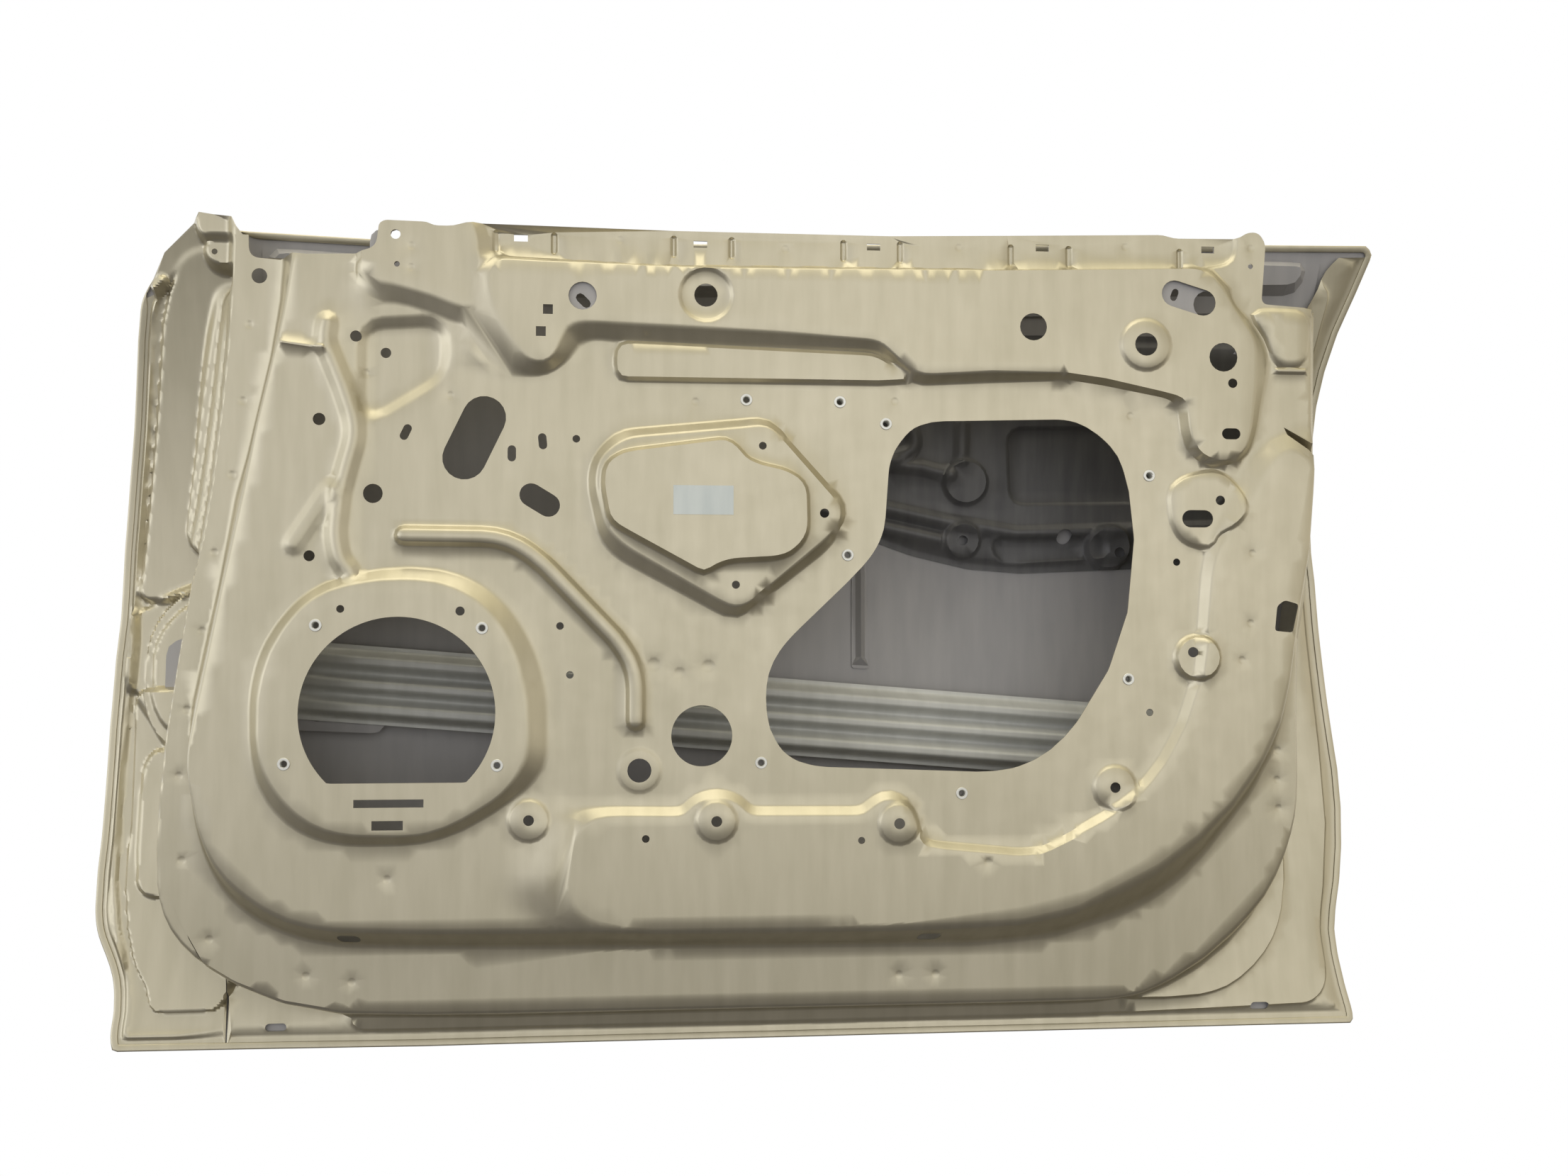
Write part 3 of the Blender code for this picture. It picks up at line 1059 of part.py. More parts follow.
def build_reinforcements(features, material):
    """All plates behind the two inner pressings."""
    back = PANEL_SHEET + BACK_GAP
    lapped = back + PANEL_SHEET + SHEET_GAP
    near = place(MIRROR_BACK_SLOT[0:2])
    far = place(MIRROR_BACK_SLOT[2:4])
    mirror_holes = [slot(near, far, MIRROR_BACK_SLOT[4])]
    mirror_holes += [circle(place(hole[0:2]), hole[2] + PANEL_SHEET, HOLE_SIDES)
                     for hole in MIRROR_HOLES]
    mirror_holes.append(rectangle(place(MIRROR_RECT_HOLE[0:2]), MIRROR_RECT_HOLE[2] + PANEL_SHEET,
                                  MIRROR_RECT_HOLE[3] + PANEL_SHEET))
    build_backing("mirror_reinforcement", MIRROR_BACK_SHARES, mirror_holes, features,
                  MIRROR_BACK_DEPTH, INNER_SHEET, material)
    belt_holes = [rectangle(place(hole[0:2]), hole[2] + PANEL_SHEET, hole[3] + PANEL_SHEET)
                  for hole in BELT_RECT_HOLES]
    build_backing("inner_belt_rail", BELT_BACK_SHARES, belt_holes, features, BELT_BACK_DEPTH,
                  INNER_SHEET, material)
    rear_holes = [circle(place(REAR_BACK_HOLE[0:2]), REAR_BACK_HOLE[2], PLATE_HOLE_SIDES),
                  circle(place(REAR_BACK_LATCH_HOLE[0:2]), REAR_BACK_LATCH_HOLE[2],
                         PLATE_HOLE_SIDES),
                  slot(place(REAR_BACK_SLOT[0:2]), place(REAR_BACK_SLOT[2:4]), REAR_BACK_SLOT[4])]
    build_backing("rear_belt_reinforcement", REAR_BACK_SHARES, rear_holes, features, back * 2,
                  INNER_SHEET, material)
    latch_hole = circle(place(LATCH_BACK_HOLE[0:2]), LATCH_BACK_HOLE[2], LARGE_SIDES)
    build_backing("latch_reinforcement", LATCH_BACK_SHARES, [latch_hole], features, back,
                  BRACKET_SHEET, material)
    build_backing("upper_hinge_reinforcement", UPPER_HINGE_BACK_SHARES, [], features, lapped,
                  BEAM_SHEET, material)
    build_backing("check_arm_reinforcement", CHECK_BACK_SHARES, [], features, lapped,
                  BEAM_SHEET, material)


def build_skin_parts(material):
    """The sheets that stand on the inner face of the skin."""
    rail_shapes = [("lift", outline(OUTER_RAIL_RIDGE_SHARES), OUTER_RAIL_RISE, WALL_RUN)]
    build_skin_part("outer_belt_rail", OUTER_RAIL_SHARES, [], rail_shapes, 0, INNER_SHEET,
                    material)
    raised = grown(outline(HANDLE_STIFFENER_SHARES), -WALL_RUN - STEEP_RUN)
    shapes = [("lift", raised, STIFFENER_BASE_RISE, WALL_RUN)]
    shapes += [("bead", outline(line, False), STIFFENER_RIDGE_RISE, GROOVE_TOP_HALF, WALL_RUN)
               for line in STIFFENER_RIDGES]
    shapes += [("lift", outline(STIFFENER_POCKET_SHARES), STIFFENER_POCKET_RISE, STEEP_RUN),
               ("lift", outline(STIFFENER_LOW_POCKET_SHARES), STIFFENER_POCKET_RISE, STEEP_RUN)]
    shapes += [("lift", circle(place(boss[0:2]), boss[2], NUT_SIDES), boss[3], STEEP_RUN)
               for boss in STIFFENER_BOSSES]
    holes = [circle(place(hole[0:2]), hole[2], PLATE_HOLE_SIDES) for hole in STIFFENER_HOLES]
    build_skin_part("handle_stiffener", HANDLE_STIFFENER_SHARES, holes, shapes,
                    0, SKIN_SHEET, material)
    ridge = [("bead", outline(BRACE_LINE_SHARES, False), BRACE_RISE, BRACE_TOP_HALF, BRACE_FLANK)]
    build_skin_part("skin_brace", BRACE_SHARES, [], ridge, 0, SKIN_SHEET, material)


def build_beam(material):
    """The impact beam, a ridged sheet that flattens toward both ends."""
    front = place(BEAM_FRONT_SHARES)
    rear = place(BEAM_REAR_SHARES)
    along = (rear - front) / np.linalg.norm(rear - front)
    across = np.array((-along[1], along[0]))
    profile = np.array(BEAM_PROFILE_SHARES)
    stations = []
    for length_share, height_share in BEAM_TAPER_SHARES:
        middle = front + (rear - front) * length_share
        spots = middle + np.outer(profile[:, 0] * BEAM_HALF_WIDTH, across)
        depth = BEAM_DEPTH - profile[:, 1] * BEAM_RIDGE * height_share
        stations.append(np.stack((spots[:, 0], spots[:, 1], depth), axis=1))
    grid = np.array(stations)
    rows, count = grid.shape[:2]
    index = np.arange(rows * count).reshape(rows, count)
    lower = np.stack((index[:-1, :-1], index[:-1, 1:], index[1:, 1:]), axis=-1)
    upper = np.stack((index[:-1, :-1], index[1:, 1:], index[1:, :-1]), axis=-1)
    faces = np.concatenate((lower.reshape(-1, 3), upper.reshape(-1, 3)))
    spots = grid.reshape(-1, 3)
    return slab("impact_beam", spots[:, 0:2], faces, spots[:, 2], BEAM_SHEET, material,
                BEAM_LEAST_LEAN)


def build_brackets(features, material):
    """The two end brackets of the impact beam."""
    hem = held_edge()
    ring = outline(FRONT_BRACKET_SHARES)
    hole = circle(place(FRONT_BRACKET_HOLE[0:2]), FRONT_BRACKET_HOLE[2], PLATE_HOLE_SIDES)
    steps = np.array(FRONT_BRACKET_STEPS)
    bends = [(np.array((place((share, 0)), place((share, 1)))), False) for share in steps[:, 0]]
    places, faces = triangulate(ring, [hole], bends, PLATE_GRID)
    front = np.interp(places[:, 0], steps[:, 0] * DOOR_LENGTH, steps[:, 1])
    slab("front_beam_bracket", places, faces, front, BRACKET_SHEET, material)
    ring = outline(REAR_BRACKET_SHARES)
    places, faces = triangulate(ring, [], feature_rows(features), PLATE_GRID)
    panel_back = PANEL_SHEET + BRACKET_GAP - form_height(places, features, hem)
    front = np.maximum(panel_back, BRACKET_DEPTH)
    slab("rear_beam_bracket", places, faces, front, BRACKET_SHEET, material)


def build_rivet_nuts(features, material):
    """Threaded inserts of the inner panel, each its own piece."""
    hem = held_edge()
    for number, shares in enumerate(RIVET_NUT_SHARES, 1):
        centre = place(shares)
        front = -form_height(centre[None, :], features, hem)[0]
        head = front - NUT_HEAD_HEIGHT - NUT_CLEAR
        seat = front - NUT_CLEAR
        tail = front + NUT_BODY_LENGTH
        profile = ((NUT_BORE_RADIUS, head), (NUT_HEAD_RADIUS, head), (NUT_HEAD_RADIUS, seat),
                   (NUT_BODY_RADIUS, seat), (NUT_BODY_RADIUS, tail), (NUT_BORE_RADIUS, tail))
        vertices, faces = turned(profile, NUT_SIDES)
        vertices = vertices + np.array((centre[0], 0, centre[1]))
        add_mesh("rivet_nut_%02d" % number, vertices, faces, material)


def main():
    """Build every piece of the door."""
    for thing in list(bpy.data.objects):
        bpy.data.objects.remove(thing)
    paint = make_material("champagne paint", (0.50, 0.46, 0.38), 0.35, 0.42)
    primer = make_material("inner face paint", (0.30, 0.30, 0.32), 0.20, 0.50)
    zinc = make_material("zinc plate", (0.62, 0.62, 0.60), 0.90, 0.35)
    features = pressed_features()
    build_inner_panel(features, paint)
    build_hinge_panel(features, paint)
    build_outer_skin(primer)
    build_reinforcements(features, primer)
    build_skin_parts(primer)
    build_beam(primer)
    build_brackets(features, primer)
    build_rivet_nuts(features, zinc)


main()
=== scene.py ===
# The looks of a car door shell: finely pressed panels, skin, beam, inserts, paint, light, camera.
# Metres. Door places are shares of its length (first) and height (second), as seen from inside.
import math

import bpy
import numpy as np
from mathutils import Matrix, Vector
from mathutils.geometry import delaunay_2d_cdt

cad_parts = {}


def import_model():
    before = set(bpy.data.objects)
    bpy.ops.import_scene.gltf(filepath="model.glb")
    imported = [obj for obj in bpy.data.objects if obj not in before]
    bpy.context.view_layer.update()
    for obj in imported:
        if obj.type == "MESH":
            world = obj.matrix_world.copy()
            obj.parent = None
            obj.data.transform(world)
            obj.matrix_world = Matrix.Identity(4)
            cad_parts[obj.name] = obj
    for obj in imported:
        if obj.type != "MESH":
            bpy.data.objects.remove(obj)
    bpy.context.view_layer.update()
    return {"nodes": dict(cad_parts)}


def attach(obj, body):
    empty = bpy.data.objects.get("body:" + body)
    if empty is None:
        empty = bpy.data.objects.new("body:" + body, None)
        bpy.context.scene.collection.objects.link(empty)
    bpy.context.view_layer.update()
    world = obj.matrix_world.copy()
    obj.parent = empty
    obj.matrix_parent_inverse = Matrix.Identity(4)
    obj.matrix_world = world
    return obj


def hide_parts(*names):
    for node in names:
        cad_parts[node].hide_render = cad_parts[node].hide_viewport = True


# Main sizes of the door
DOOR_LENGTH = 1.186
DOOR_HEIGHT = 0.749
SKIN_CROWN = 0.055
SKIN_CROWN_MIDDLE_SHARE = 0.48
SKIN_CROWN_REACH_SHARE = 0.50
SKIN_BOW = 0.012

# Sheet metal
PANEL_SHEET = 0.0010
SKIN_SHEET = 0.0008
SHEET_GAP = 0.00045
HEM_LIP = 0.0062
OPEN_LIP = 0.0012
HEM_CLEAR = 0.0013
SEAM_GAP = 0.0012
SEAM_OVERLAP = 0.008
FOOT_BAND_SHARE = 0.03
RAIL_GAP = 0.0005
LAP_DEPTH = 0.0016
STEEP_LIMIT = 0.40
LEAST_RISE = 0.0035

# Heights of the pressed levels toward the cabin
RING_LEVEL = 0.040
SHELF_RISE = 0.014
RIM_RISE = 0.006
PLATEAU_LEVEL = 0.080
BORDER_LEVEL = 0.088
BELT_LEVEL = 0.092
BELT_FLANGE_LEVEL = 0.076
MIRROR_LEVEL = 0.0885
SPEAKER_LEVEL = 0.092
PAD_LEVEL = 0.102
BAND_LEVEL = 0.091
ARM_RISE = 0.005
POCKET_RISE = 0.004
RIDGE_LOW_LEVEL = -0.002
RIDGE_HIGH_LEVEL = 0.016
CORNER_LEVEL = 0.030
CORNER_PAD_LEVEL = 0.022
RECESS_RISE = 0.013
EDGE_BEAD_RISE = 0.0060
MIDDLE_FACE_RISE = 0.009
CORNER_RIM_RISE = 0.012
LOWER_FACE_RISE = 0.012
HINGE_PAD_RISE = 0.018
HINGE_PAD_TOP_RISE = 0.0045
LOW_PAD_RISE = 0.006

# Lengths over which a pressed wall runs
STEEP_RUN = 0.005
WALL_RUN = 0.008
SOFT_RUN = 0.012
EDGE_RUN = 0.004
WIDE_RUN = 0.020
RIDGE_RUN = 0.011
FILLET_SHARE = 0.38
# Share of the length, from the hinge edge, where the shorter edge run holds
EDGE_RUN_SHARE = 0.06

# Corner rounding of outlines
SHARP = 0.003
MID = 0.012
LOOSE = 0.500
TURN_STEP = math.radians(14)

# Finer facets of the visible pieces
ROW_STEP = 0.0055
PANEL_GRID = 0.0095
SKIN_GRID = 0.016
HINGE_GRID = 0.0019
ROW_CLEAR = 0.0005
CELL_MARGIN = 120
CELL_REACH = 1.1
MERGE_DISTANCE = 0.000012
TINY = 0.00001
TINY_AREA = 1e-12
LEAST_MITRE = 0.5
END_STEPS = 7
EDGE_ROW_SHARES = (0, 0.33, 0.66, 1, 2)
WALL_ROW_SHARES = (0.0, 0.13, 0.26, 0.74, 0.87, 1.0)
LIFT_ROW_SHARES = (0.0, 0.3, 0.7, 1.0)
LARGE_HOLE = 0.020
LARGE_SIDES = 72
HOLE_SIDES = 20
SLOT_SIDES = 11

# The mount face of the upper hinge that is the origin
ORIGIN_SHARES = (0.064, 0.800)
ORIGIN_LEVEL = -0.020

# Outer edge of the door, then the edges of the two inner pressings
HEM_TOP_SHARES = (
    (0.073, 0.989, SHARP), (0.111, 0.984), (0.209, 0.979), (0.408, 0.983), (0.691, 0.993),
    (0.912, 0.999),
)
HEM_RIGHT_SHARES = (
    (1.000, 1.000, SHARP), (1.005, 0.989, SHARP), (0.995, 0.942), (0.982, 0.891), (0.974, 0.843),
    (0.969, 0.798), (0.967, 0.738), (0.968, 0.664), (0.970, 0.608), (0.974, 0.569),
    (0.977, 0.504), (0.983, 0.414), (0.990, 0.323), (0.991, 0.274), (0.989, 0.224),
    (0.985, 0.181), (0.979, 0.144), (0.976, 0.118), (0.977, 0.088), (0.980, 0.051),
    (0.984, 0.018),
)
HEM_BOTTOM_SHARES = (
    (0.983, 0.005, SHARP), (0.747, 0.002), (0.521, 0.001), (0.249, 0.001),
)
HEM_LEFT_SHARES = (
    (0.021, 0.006, SHARP), (0.018, 0.025), (0.020, 0.049), (0.018, 0.086), (0.011, 0.114),
    (0.003, 0.139), (0.000, 0.168), (0.000, 0.212), (0.002, 0.255), (0.004, 0.386),
    (0.007, 0.468), (0.011, 0.518), (0.013, 0.601), (0.018, 0.688), (0.022, 0.748),
    (0.027, 0.855), (0.031, 0.900), (0.036, 0.915), (0.051, 0.954),
)
SEAM_SHARES = (
    (0.110, 0.966), (0.111, 0.958), (0.110, 0.908), (0.108, 0.837), (0.104, 0.765),
    (0.098, 0.674), (0.092, 0.608), (0.083, 0.557), (0.075, 0.468), (0.067, 0.381),
    (0.064, 0.313), (0.064, 0.248), (0.069, 0.199), (0.078, 0.165), (0.092, 0.127),
    (0.101, 0.100), (0.1025, 0.065),
)
SEAM_FOOT_SHARE = 0.1025
EDGE_TOP_SHARES = (0.0340, 0.9060)
HINGE_CORNER_SHARES = (
    (0.0405, 0.9080), (0.0395, 0.9165), (0.0522, 0.9540), (0.0748, 0.9880), (0.0820, 0.9955),
    (0.0930, 0.9930), (0.1070, 0.9890), (0.1110, 0.9770),
)
TOP_EDGE_SHARES = (
    (0.1205, 0.966), (0.121, 0.939, MID), (0.152, 0.938), (0.163, 0.932), (0.209, 0.934),
    (0.219, 0.941), (0.221, 0.967, MID), (0.225, 0.971), (0.255, 0.970), (0.260, 0.966),
    (0.274, 0.966), (0.283, 0.971), (0.294, 0.972), (0.434, 0.971), (0.596, 0.971),
    (0.686, 0.976), (0.808, 0.982), (0.816, 0.978), (0.867, 0.979), (0.873, 0.986),
    (0.882, 0.987, MID), (0.888, 0.974), (0.885, 0.917), (0.884, 0.899, MID),
    (0.918, 0.896, MID), (0.932, 0.893), (0.945, 0.905), (0.957, 0.930), (0.966, 0.968),
    (0.976, 0.984, MID),
)

# Pressed levels, each by its upper line and its lower line
PLATEAU_CREST_SHARES = (
    (0.163, 1.030, SHARP), (0.163, 0.932), (0.155, 0.865), (0.149, 0.823), (0.136, 0.734),
    (0.128, 0.653), (0.113, 0.545), (0.101, 0.438), (0.091, 0.363), (0.092, 0.333),
    (0.099, 0.279), (0.110, 0.239), (0.131, 0.205), (0.161, 0.176), (0.194, 0.166),
    (0.258, 0.163), (0.592, 0.159), (0.693, 0.164), (0.734, 0.177), (0.797, 0.224),
    (0.855, 0.296), (0.893, 0.393), (0.903, 0.495), (0.907, 0.539), (0.916, 0.601),
    (0.921, 0.700), (0.921, 0.817), (0.922, 0.890), (0.923, 1.030, SHARP),
)
PLATEAU_FOOT_SHARES = (
    (0.144, 1.040, SHARP), (0.144, 0.932), (0.143, 0.888), (0.137, 0.821), (0.121, 0.705),
    (0.112, 0.658), (0.102, 0.554), (0.092, 0.481), (0.083, 0.418), (0.081, 0.345),
    (0.086, 0.289), (0.093, 0.242), (0.108, 0.196), (0.132, 0.163), (0.165, 0.140),
    (0.194, 0.132), (0.305, 0.127), (0.662, 0.120), (0.725, 0.126), (0.783, 0.152),
    (0.831, 0.195), (0.887, 0.302), (0.906, 0.356), (0.915, 0.406), (0.919, 0.459),
    (0.922, 0.496), (0.929, 0.547), (0.937, 0.671), (0.937, 0.849), (0.940, 1.040, SHARP),
)
RING_CREST_SHARES = (
    (0.110, 1.050, SHARP), (0.111, 0.958), (0.110, 0.908), (0.108, 0.837), (0.104, 0.765),
    (0.098, 0.674), (0.092, 0.608), (0.083, 0.557), (0.075, 0.468), (0.067, 0.381),
    (0.063, 0.313), (0.061, 0.250), (0.063, 0.193), (0.072, 0.158), (0.089, 0.127),
    (0.117, 0.097), (0.152, 0.073), (0.193, 0.061), (0.254, 0.058), (0.679, 0.058),
    (0.767, 0.058), (0.796, 0.063), (0.847, 0.106), (0.894, 0.178), (0.911, 0.232),
    (0.920, 0.275), (0.922, 0.327), (0.921, 0.406), (0.922, 0.496), (0.930, 0.547),
    (0.938, 0.671), (0.939, 0.900), (0.944, 1.050, SHARP),
)
RING_FOOT_SHARES = (
    (0.101, 1.060, SHARP), (0.102, 0.958), (0.101, 0.908), (0.099, 0.837), (0.095, 0.765),
    (0.089, 0.674), (0.083, 0.608), (0.074, 0.557), (0.066, 0.468), (0.058, 0.381),
    (0.054, 0.313), (0.051, 0.250), (0.055, 0.168), (0.064, 0.135), (0.080, 0.110),
    (0.116, 0.069), (0.147, 0.050), (0.188, 0.036), (0.304, 0.032), (0.742, 0.033),
    (0.800, 0.037), (0.857, 0.071), (0.904, 0.133), (0.930, 0.203), (0.937, 0.270),
    (0.938, 0.400), (0.943, 0.500), (0.950, 0.600), (0.952, 0.740), (0.953, 0.870),
    (0.956, 1.060, SHARP),
)
SHELF_SHARES = (
    (0.780, 0.045), (0.830, 0.044), (0.856, 0.046), (0.879, 0.055), (0.902, 0.079),
    (0.920, 0.112), (0.929, 0.147), (0.933, 0.182), (0.934, 0.235), (0.900, 0.240),
    (0.820, 0.120),
)
RIM_SHARES = (
    (0.190, 0.024), (0.521, 0.020), (0.748, 0.021), (0.864, 0.028), (0.949, 0.033, MID),
    (0.961, 0.050), (0.964, 0.080), (0.961, 0.118), (0.968, 0.173), (0.975, 0.254),
    (0.972, 0.355), (0.968, 0.448), (0.961, 0.560), (0.955, 0.700), (0.957, 0.850),
    (0.972, 0.950), (0.940, 0.950), (0.900, 0.500), (0.800, 0.200), (0.200, 0.080),
)
# The hinge-side pressing's faces, ridges and pads
RECESS_SHARES = (
    (0.0700, 0.955), (0.1100, 0.955), (0.1100, 0.700), (0.0800, 0.560), (0.0600, 0.5500),
    (0.0340, 0.5420, MID), (0.0290, 0.5480), (0.0318, 0.5800), (0.0372, 0.6665),
    (0.0452, 0.7850), (0.0500, 0.8730), (0.0555, 0.9100),
)
EDGE_BEAD_UPPER_SHARES = (
    (0.0500, 0.9200), (0.0420, 0.9050), (0.0360, 0.8740), (0.0332, 0.7850), (0.0270, 0.6670),
    (0.0225, 0.5800), (0.0215, 0.5380), (0.0220, 0.4900), (0.0195, 0.4400), (0.0175, 0.4200),
    (0.0154, 0.3650), (0.0128, 0.3030), (0.0129, 0.1990), (0.0167, 0.1470), (0.0249, 0.1020),
)
EDGE_BEAD_HALF = 0.0006
EDGE_BEAD_FLANK = 0.0072
MIDDLE_FACE_SHARES = (
    (0.0180, 0.5200), (0.0335, 0.5264), (0.0663, 0.5530), (0.0900, 0.5600), (0.0900, 0.3300),
    (0.0550, 0.3550), (0.0400, 0.3990), (0.0250, 0.4330), (0.0180, 0.4380),
)
RIDGE_LOW_SHARES = (
    (0.0945, 0.912, MID), (0.0880, 0.860), (0.0855, 0.833), (0.0814, 0.784), (0.0777, 0.716),
    (0.0735, 0.665), (0.0700, 0.610), (0.0900, 0.598), (0.1200, 0.912),
)
RIDGE_HIGH_SHARES = (
    (0.1030, 0.905, MID), (0.0985, 0.842), (0.0950, 0.778), (0.0905, 0.711), (0.0845, 0.643),
    (0.0790, 0.597), (0.0950, 0.597), (0.1200, 0.905),
)
TOP_CORNER_SHARES = (
    (0.0800, 0.995), (0.0850, 1.060), (0.1400, 1.060), (0.1300, 0.950), (0.1080, 0.962),
    (0.0840, 0.968),
)
CORNER_RIM_SHARES = (
    (0.0300, 0.905), (0.0300, 1.060), (0.1200, 1.060), (0.1200, 0.960), (0.0820, 0.962),
    (0.0650, 0.945), (0.0480, 0.915),
)
CORNER_PAD_SHARES = (
    (0.085, 0.962), (0.112, 0.962), (0.112, 0.939), (0.090, 0.939),
)
LOWER_FACE_SHARES = (
    (0.0248, 0.4250), (0.0500, 0.4300), (0.0800, 0.4300), (0.0700, 0.3000), (0.0700, 0.1400),
    (0.1100, 0.0950), (0.0960, 0.0520, MID), (0.0480, 0.0520, MID), (0.0450, 0.0800),
    (0.0355, 0.1020), (0.0275, 0.1470), (0.0238, 0.1990), (0.0268, 0.3030), (0.0268, 0.3650),
)
HINGE_PAD_SHARES = (
    (0.0900, 0.5500), (0.0644, 0.5470), (0.0489, 0.5263), (0.0377, 0.4937), (0.0351, 0.4423),
    (0.0399, 0.3996), (0.0508, 0.3698), (0.0850, 0.3500),
)
HINGE_PAD_TOP_SHARES = (
    (0.0900, 0.5350), (0.0680, 0.5330), (0.0545, 0.5130), (0.0445, 0.4870), (0.0425, 0.4450),
    (0.0465, 0.4100), (0.0560, 0.3850), (0.0850, 0.3700),
)
LOW_PAD_SHARES = (
    (0.0600, 0.3560), (0.0421, 0.3548), (0.0357, 0.3396), (0.0340, 0.3058), (0.0335, 0.2389),
    (0.0350, 0.1975), (0.0405, 0.1875), (0.0600, 0.1841),
)
CORNER_HOLE_SHARES = (0.0923, 0.9513)
CORNER_HOLE_RADIUS = 0.0026
# Plates behind the hinge-side pressing, and how far behind it
UPPER_BACKING_SHARES = ((0.045, 0.640), (0.060, 0.640), (0.066, 0.760), (0.052, 0.760))
CHECK_BACKING_SHARES = ((0.036, 0.570), (0.052, 0.570), (0.056, 0.630), (0.040, 0.630))
BACKING_GAP = 0.004
# Upper levels of the inner panel
MIRROR_CREST_SHARES = (
    (0.209, 1.000), (0.209, 0.906), (0.229, 0.903), (0.259, 0.890), (0.290, 0.870),
    (0.290, 1.000),
)
MIRROR_FOOT_SHARES = (
    (0.203, 1.010), (0.203, 0.906), (0.188, 0.874), (0.183, 0.853), (0.228, 0.877),
    (0.254, 0.866), (0.286, 0.846), (0.303, 0.846), (0.303, 1.010),
)
BELT_FLANGE_SHARES = (
    (0.306, 1.040, SHARP), (0.308, 0.937, MID), (0.430, 0.931), (0.672, 0.936),
    (0.835, 0.943, MID), (0.862, 0.952, MID), (0.862, 1.040, SHARP),
)
BELT_CREST_SHARES = (
    (0.300, 0.928), (0.330, 0.926), (0.459, 0.922), (0.564, 0.925), (0.672, 0.928),
    (0.781, 0.934), (0.835, 0.937, MID), (0.850, 0.911), (0.859, 0.885), (0.872, 0.856),
    (0.874, 0.839), (0.873, 0.800), (0.870, 0.749), (0.866, 0.722), (0.857, 0.708),
    (0.843, 0.706), (0.829, 0.717), (0.824, 0.745), (0.822, 0.780), (0.802, 0.788),
    (0.758, 0.803), (0.725, 0.810), (0.671, 0.811), (0.617, 0.804), (0.601, 0.822),
    (0.588, 0.844), (0.512, 0.853), (0.433, 0.858), (0.364, 0.861), (0.354, 0.856),
    (0.349, 0.839), (0.346, 0.821), (0.340, 0.812), (0.330, 0.814), (0.318, 0.840), (0.300, 0.885),
)
BELT_FOOT_SHARES = (
    (0.286, 0.950), (0.300, 0.938), (0.430, 0.929), (0.672, 0.934), (0.832, 0.944),
    (0.860, 0.938), (0.862, 0.900), (0.874, 0.884), (0.889, 0.848), (0.892, 0.820),
    (0.886, 0.786), (0.881, 0.742), (0.873, 0.713), (0.860, 0.700), (0.838, 0.698),
    (0.825, 0.710), (0.817, 0.735), (0.816, 0.778), (0.761, 0.793), (0.728, 0.802),
    (0.673, 0.796), (0.614, 0.791), (0.601, 0.808), (0.585, 0.829), (0.513, 0.831),
    (0.434, 0.832), (0.392, 0.835), (0.371, 0.839), (0.358, 0.812), (0.341, 0.794),
    (0.290, 0.793), (0.258, 0.800), (0.264, 0.835), (0.286, 0.880),
)
ARM_SHARES = (
    (0.397, 0.834), (0.584, 0.825), (0.598, 0.811), (0.610, 0.800), (0.586, 0.797),
    (0.396, 0.797, MID), (0.393, 0.805), (0.393, 0.826, MID),
)
SPEAKER_FOOT_SHARES = (
    (0.202, 0.569), (0.244, 0.579), (0.284, 0.570), (0.314, 0.539), (0.333, 0.494),
    (0.345, 0.444), (0.346, 0.344), (0.330, 0.318), (0.305, 0.290), (0.284, 0.271),
    (0.255, 0.256), (0.199, 0.255), (0.172, 0.266), (0.151, 0.290), (0.135, 0.330),
    (0.131, 0.378), (0.131, 0.438), (0.140, 0.489), (0.159, 0.530), (0.177, 0.555),
)
SPEAKER_CREST_SHARES = (
    (0.189, 0.545), (0.223, 0.557), (0.265, 0.555), (0.289, 0.537), (0.307, 0.509),
    (0.320, 0.468), (0.327, 0.419), (0.328, 0.361), (0.315, 0.321), (0.286, 0.290),
    (0.256, 0.270), (0.200, 0.273), (0.179, 0.284), (0.159, 0.310), (0.145, 0.346),
    (0.141, 0.381), (0.141, 0.423), (0.148, 0.475), (0.168, 0.523),
)
PAD_FOOT_SHARES = (
    (0.391, 0.737, MID), (0.499, 0.754, MID), (0.509, 0.748, MID), (0.562, 0.656, MID),
    (0.564, 0.637, MID), (0.552, 0.599, MID), (0.487, 0.519, MID), (0.479, 0.514, MID),
    (0.469, 0.518, MID), (0.390, 0.585, MID), (0.378, 0.607, MID), (0.369, 0.673, MID),
    (0.373, 0.705, MID),
)
BAND_CREST_SHARES = (
    (0.400, 0.722, MID), (0.484, 0.735, MID), (0.501, 0.739, MID), (0.511, 0.729, MID),
    (0.556, 0.649, MID), (0.556, 0.627, MID), (0.543, 0.607, MID), (0.488, 0.534, MID),
    (0.478, 0.531, MID), (0.466, 0.540, MID), (0.398, 0.602, MID), (0.386, 0.622, MID),
    (0.378, 0.672, MID), (0.381, 0.699, MID),
)
PAD_CREST_SHARES = (
    (0.398, 0.705, MID), (0.472, 0.721, MID), (0.480, 0.712, MID), (0.486, 0.699, MID),
    (0.498, 0.691, MID), (0.518, 0.685, MID), (0.530, 0.670, MID), (0.531, 0.612, MID),
    (0.516, 0.589, MID), (0.474, 0.585, MID), (0.463, 0.578, MID), (0.456, 0.570, MID),
    (0.400, 0.618, MID), (0.389, 0.629, MID), (0.384, 0.671, MID), (0.386, 0.693, MID),
)
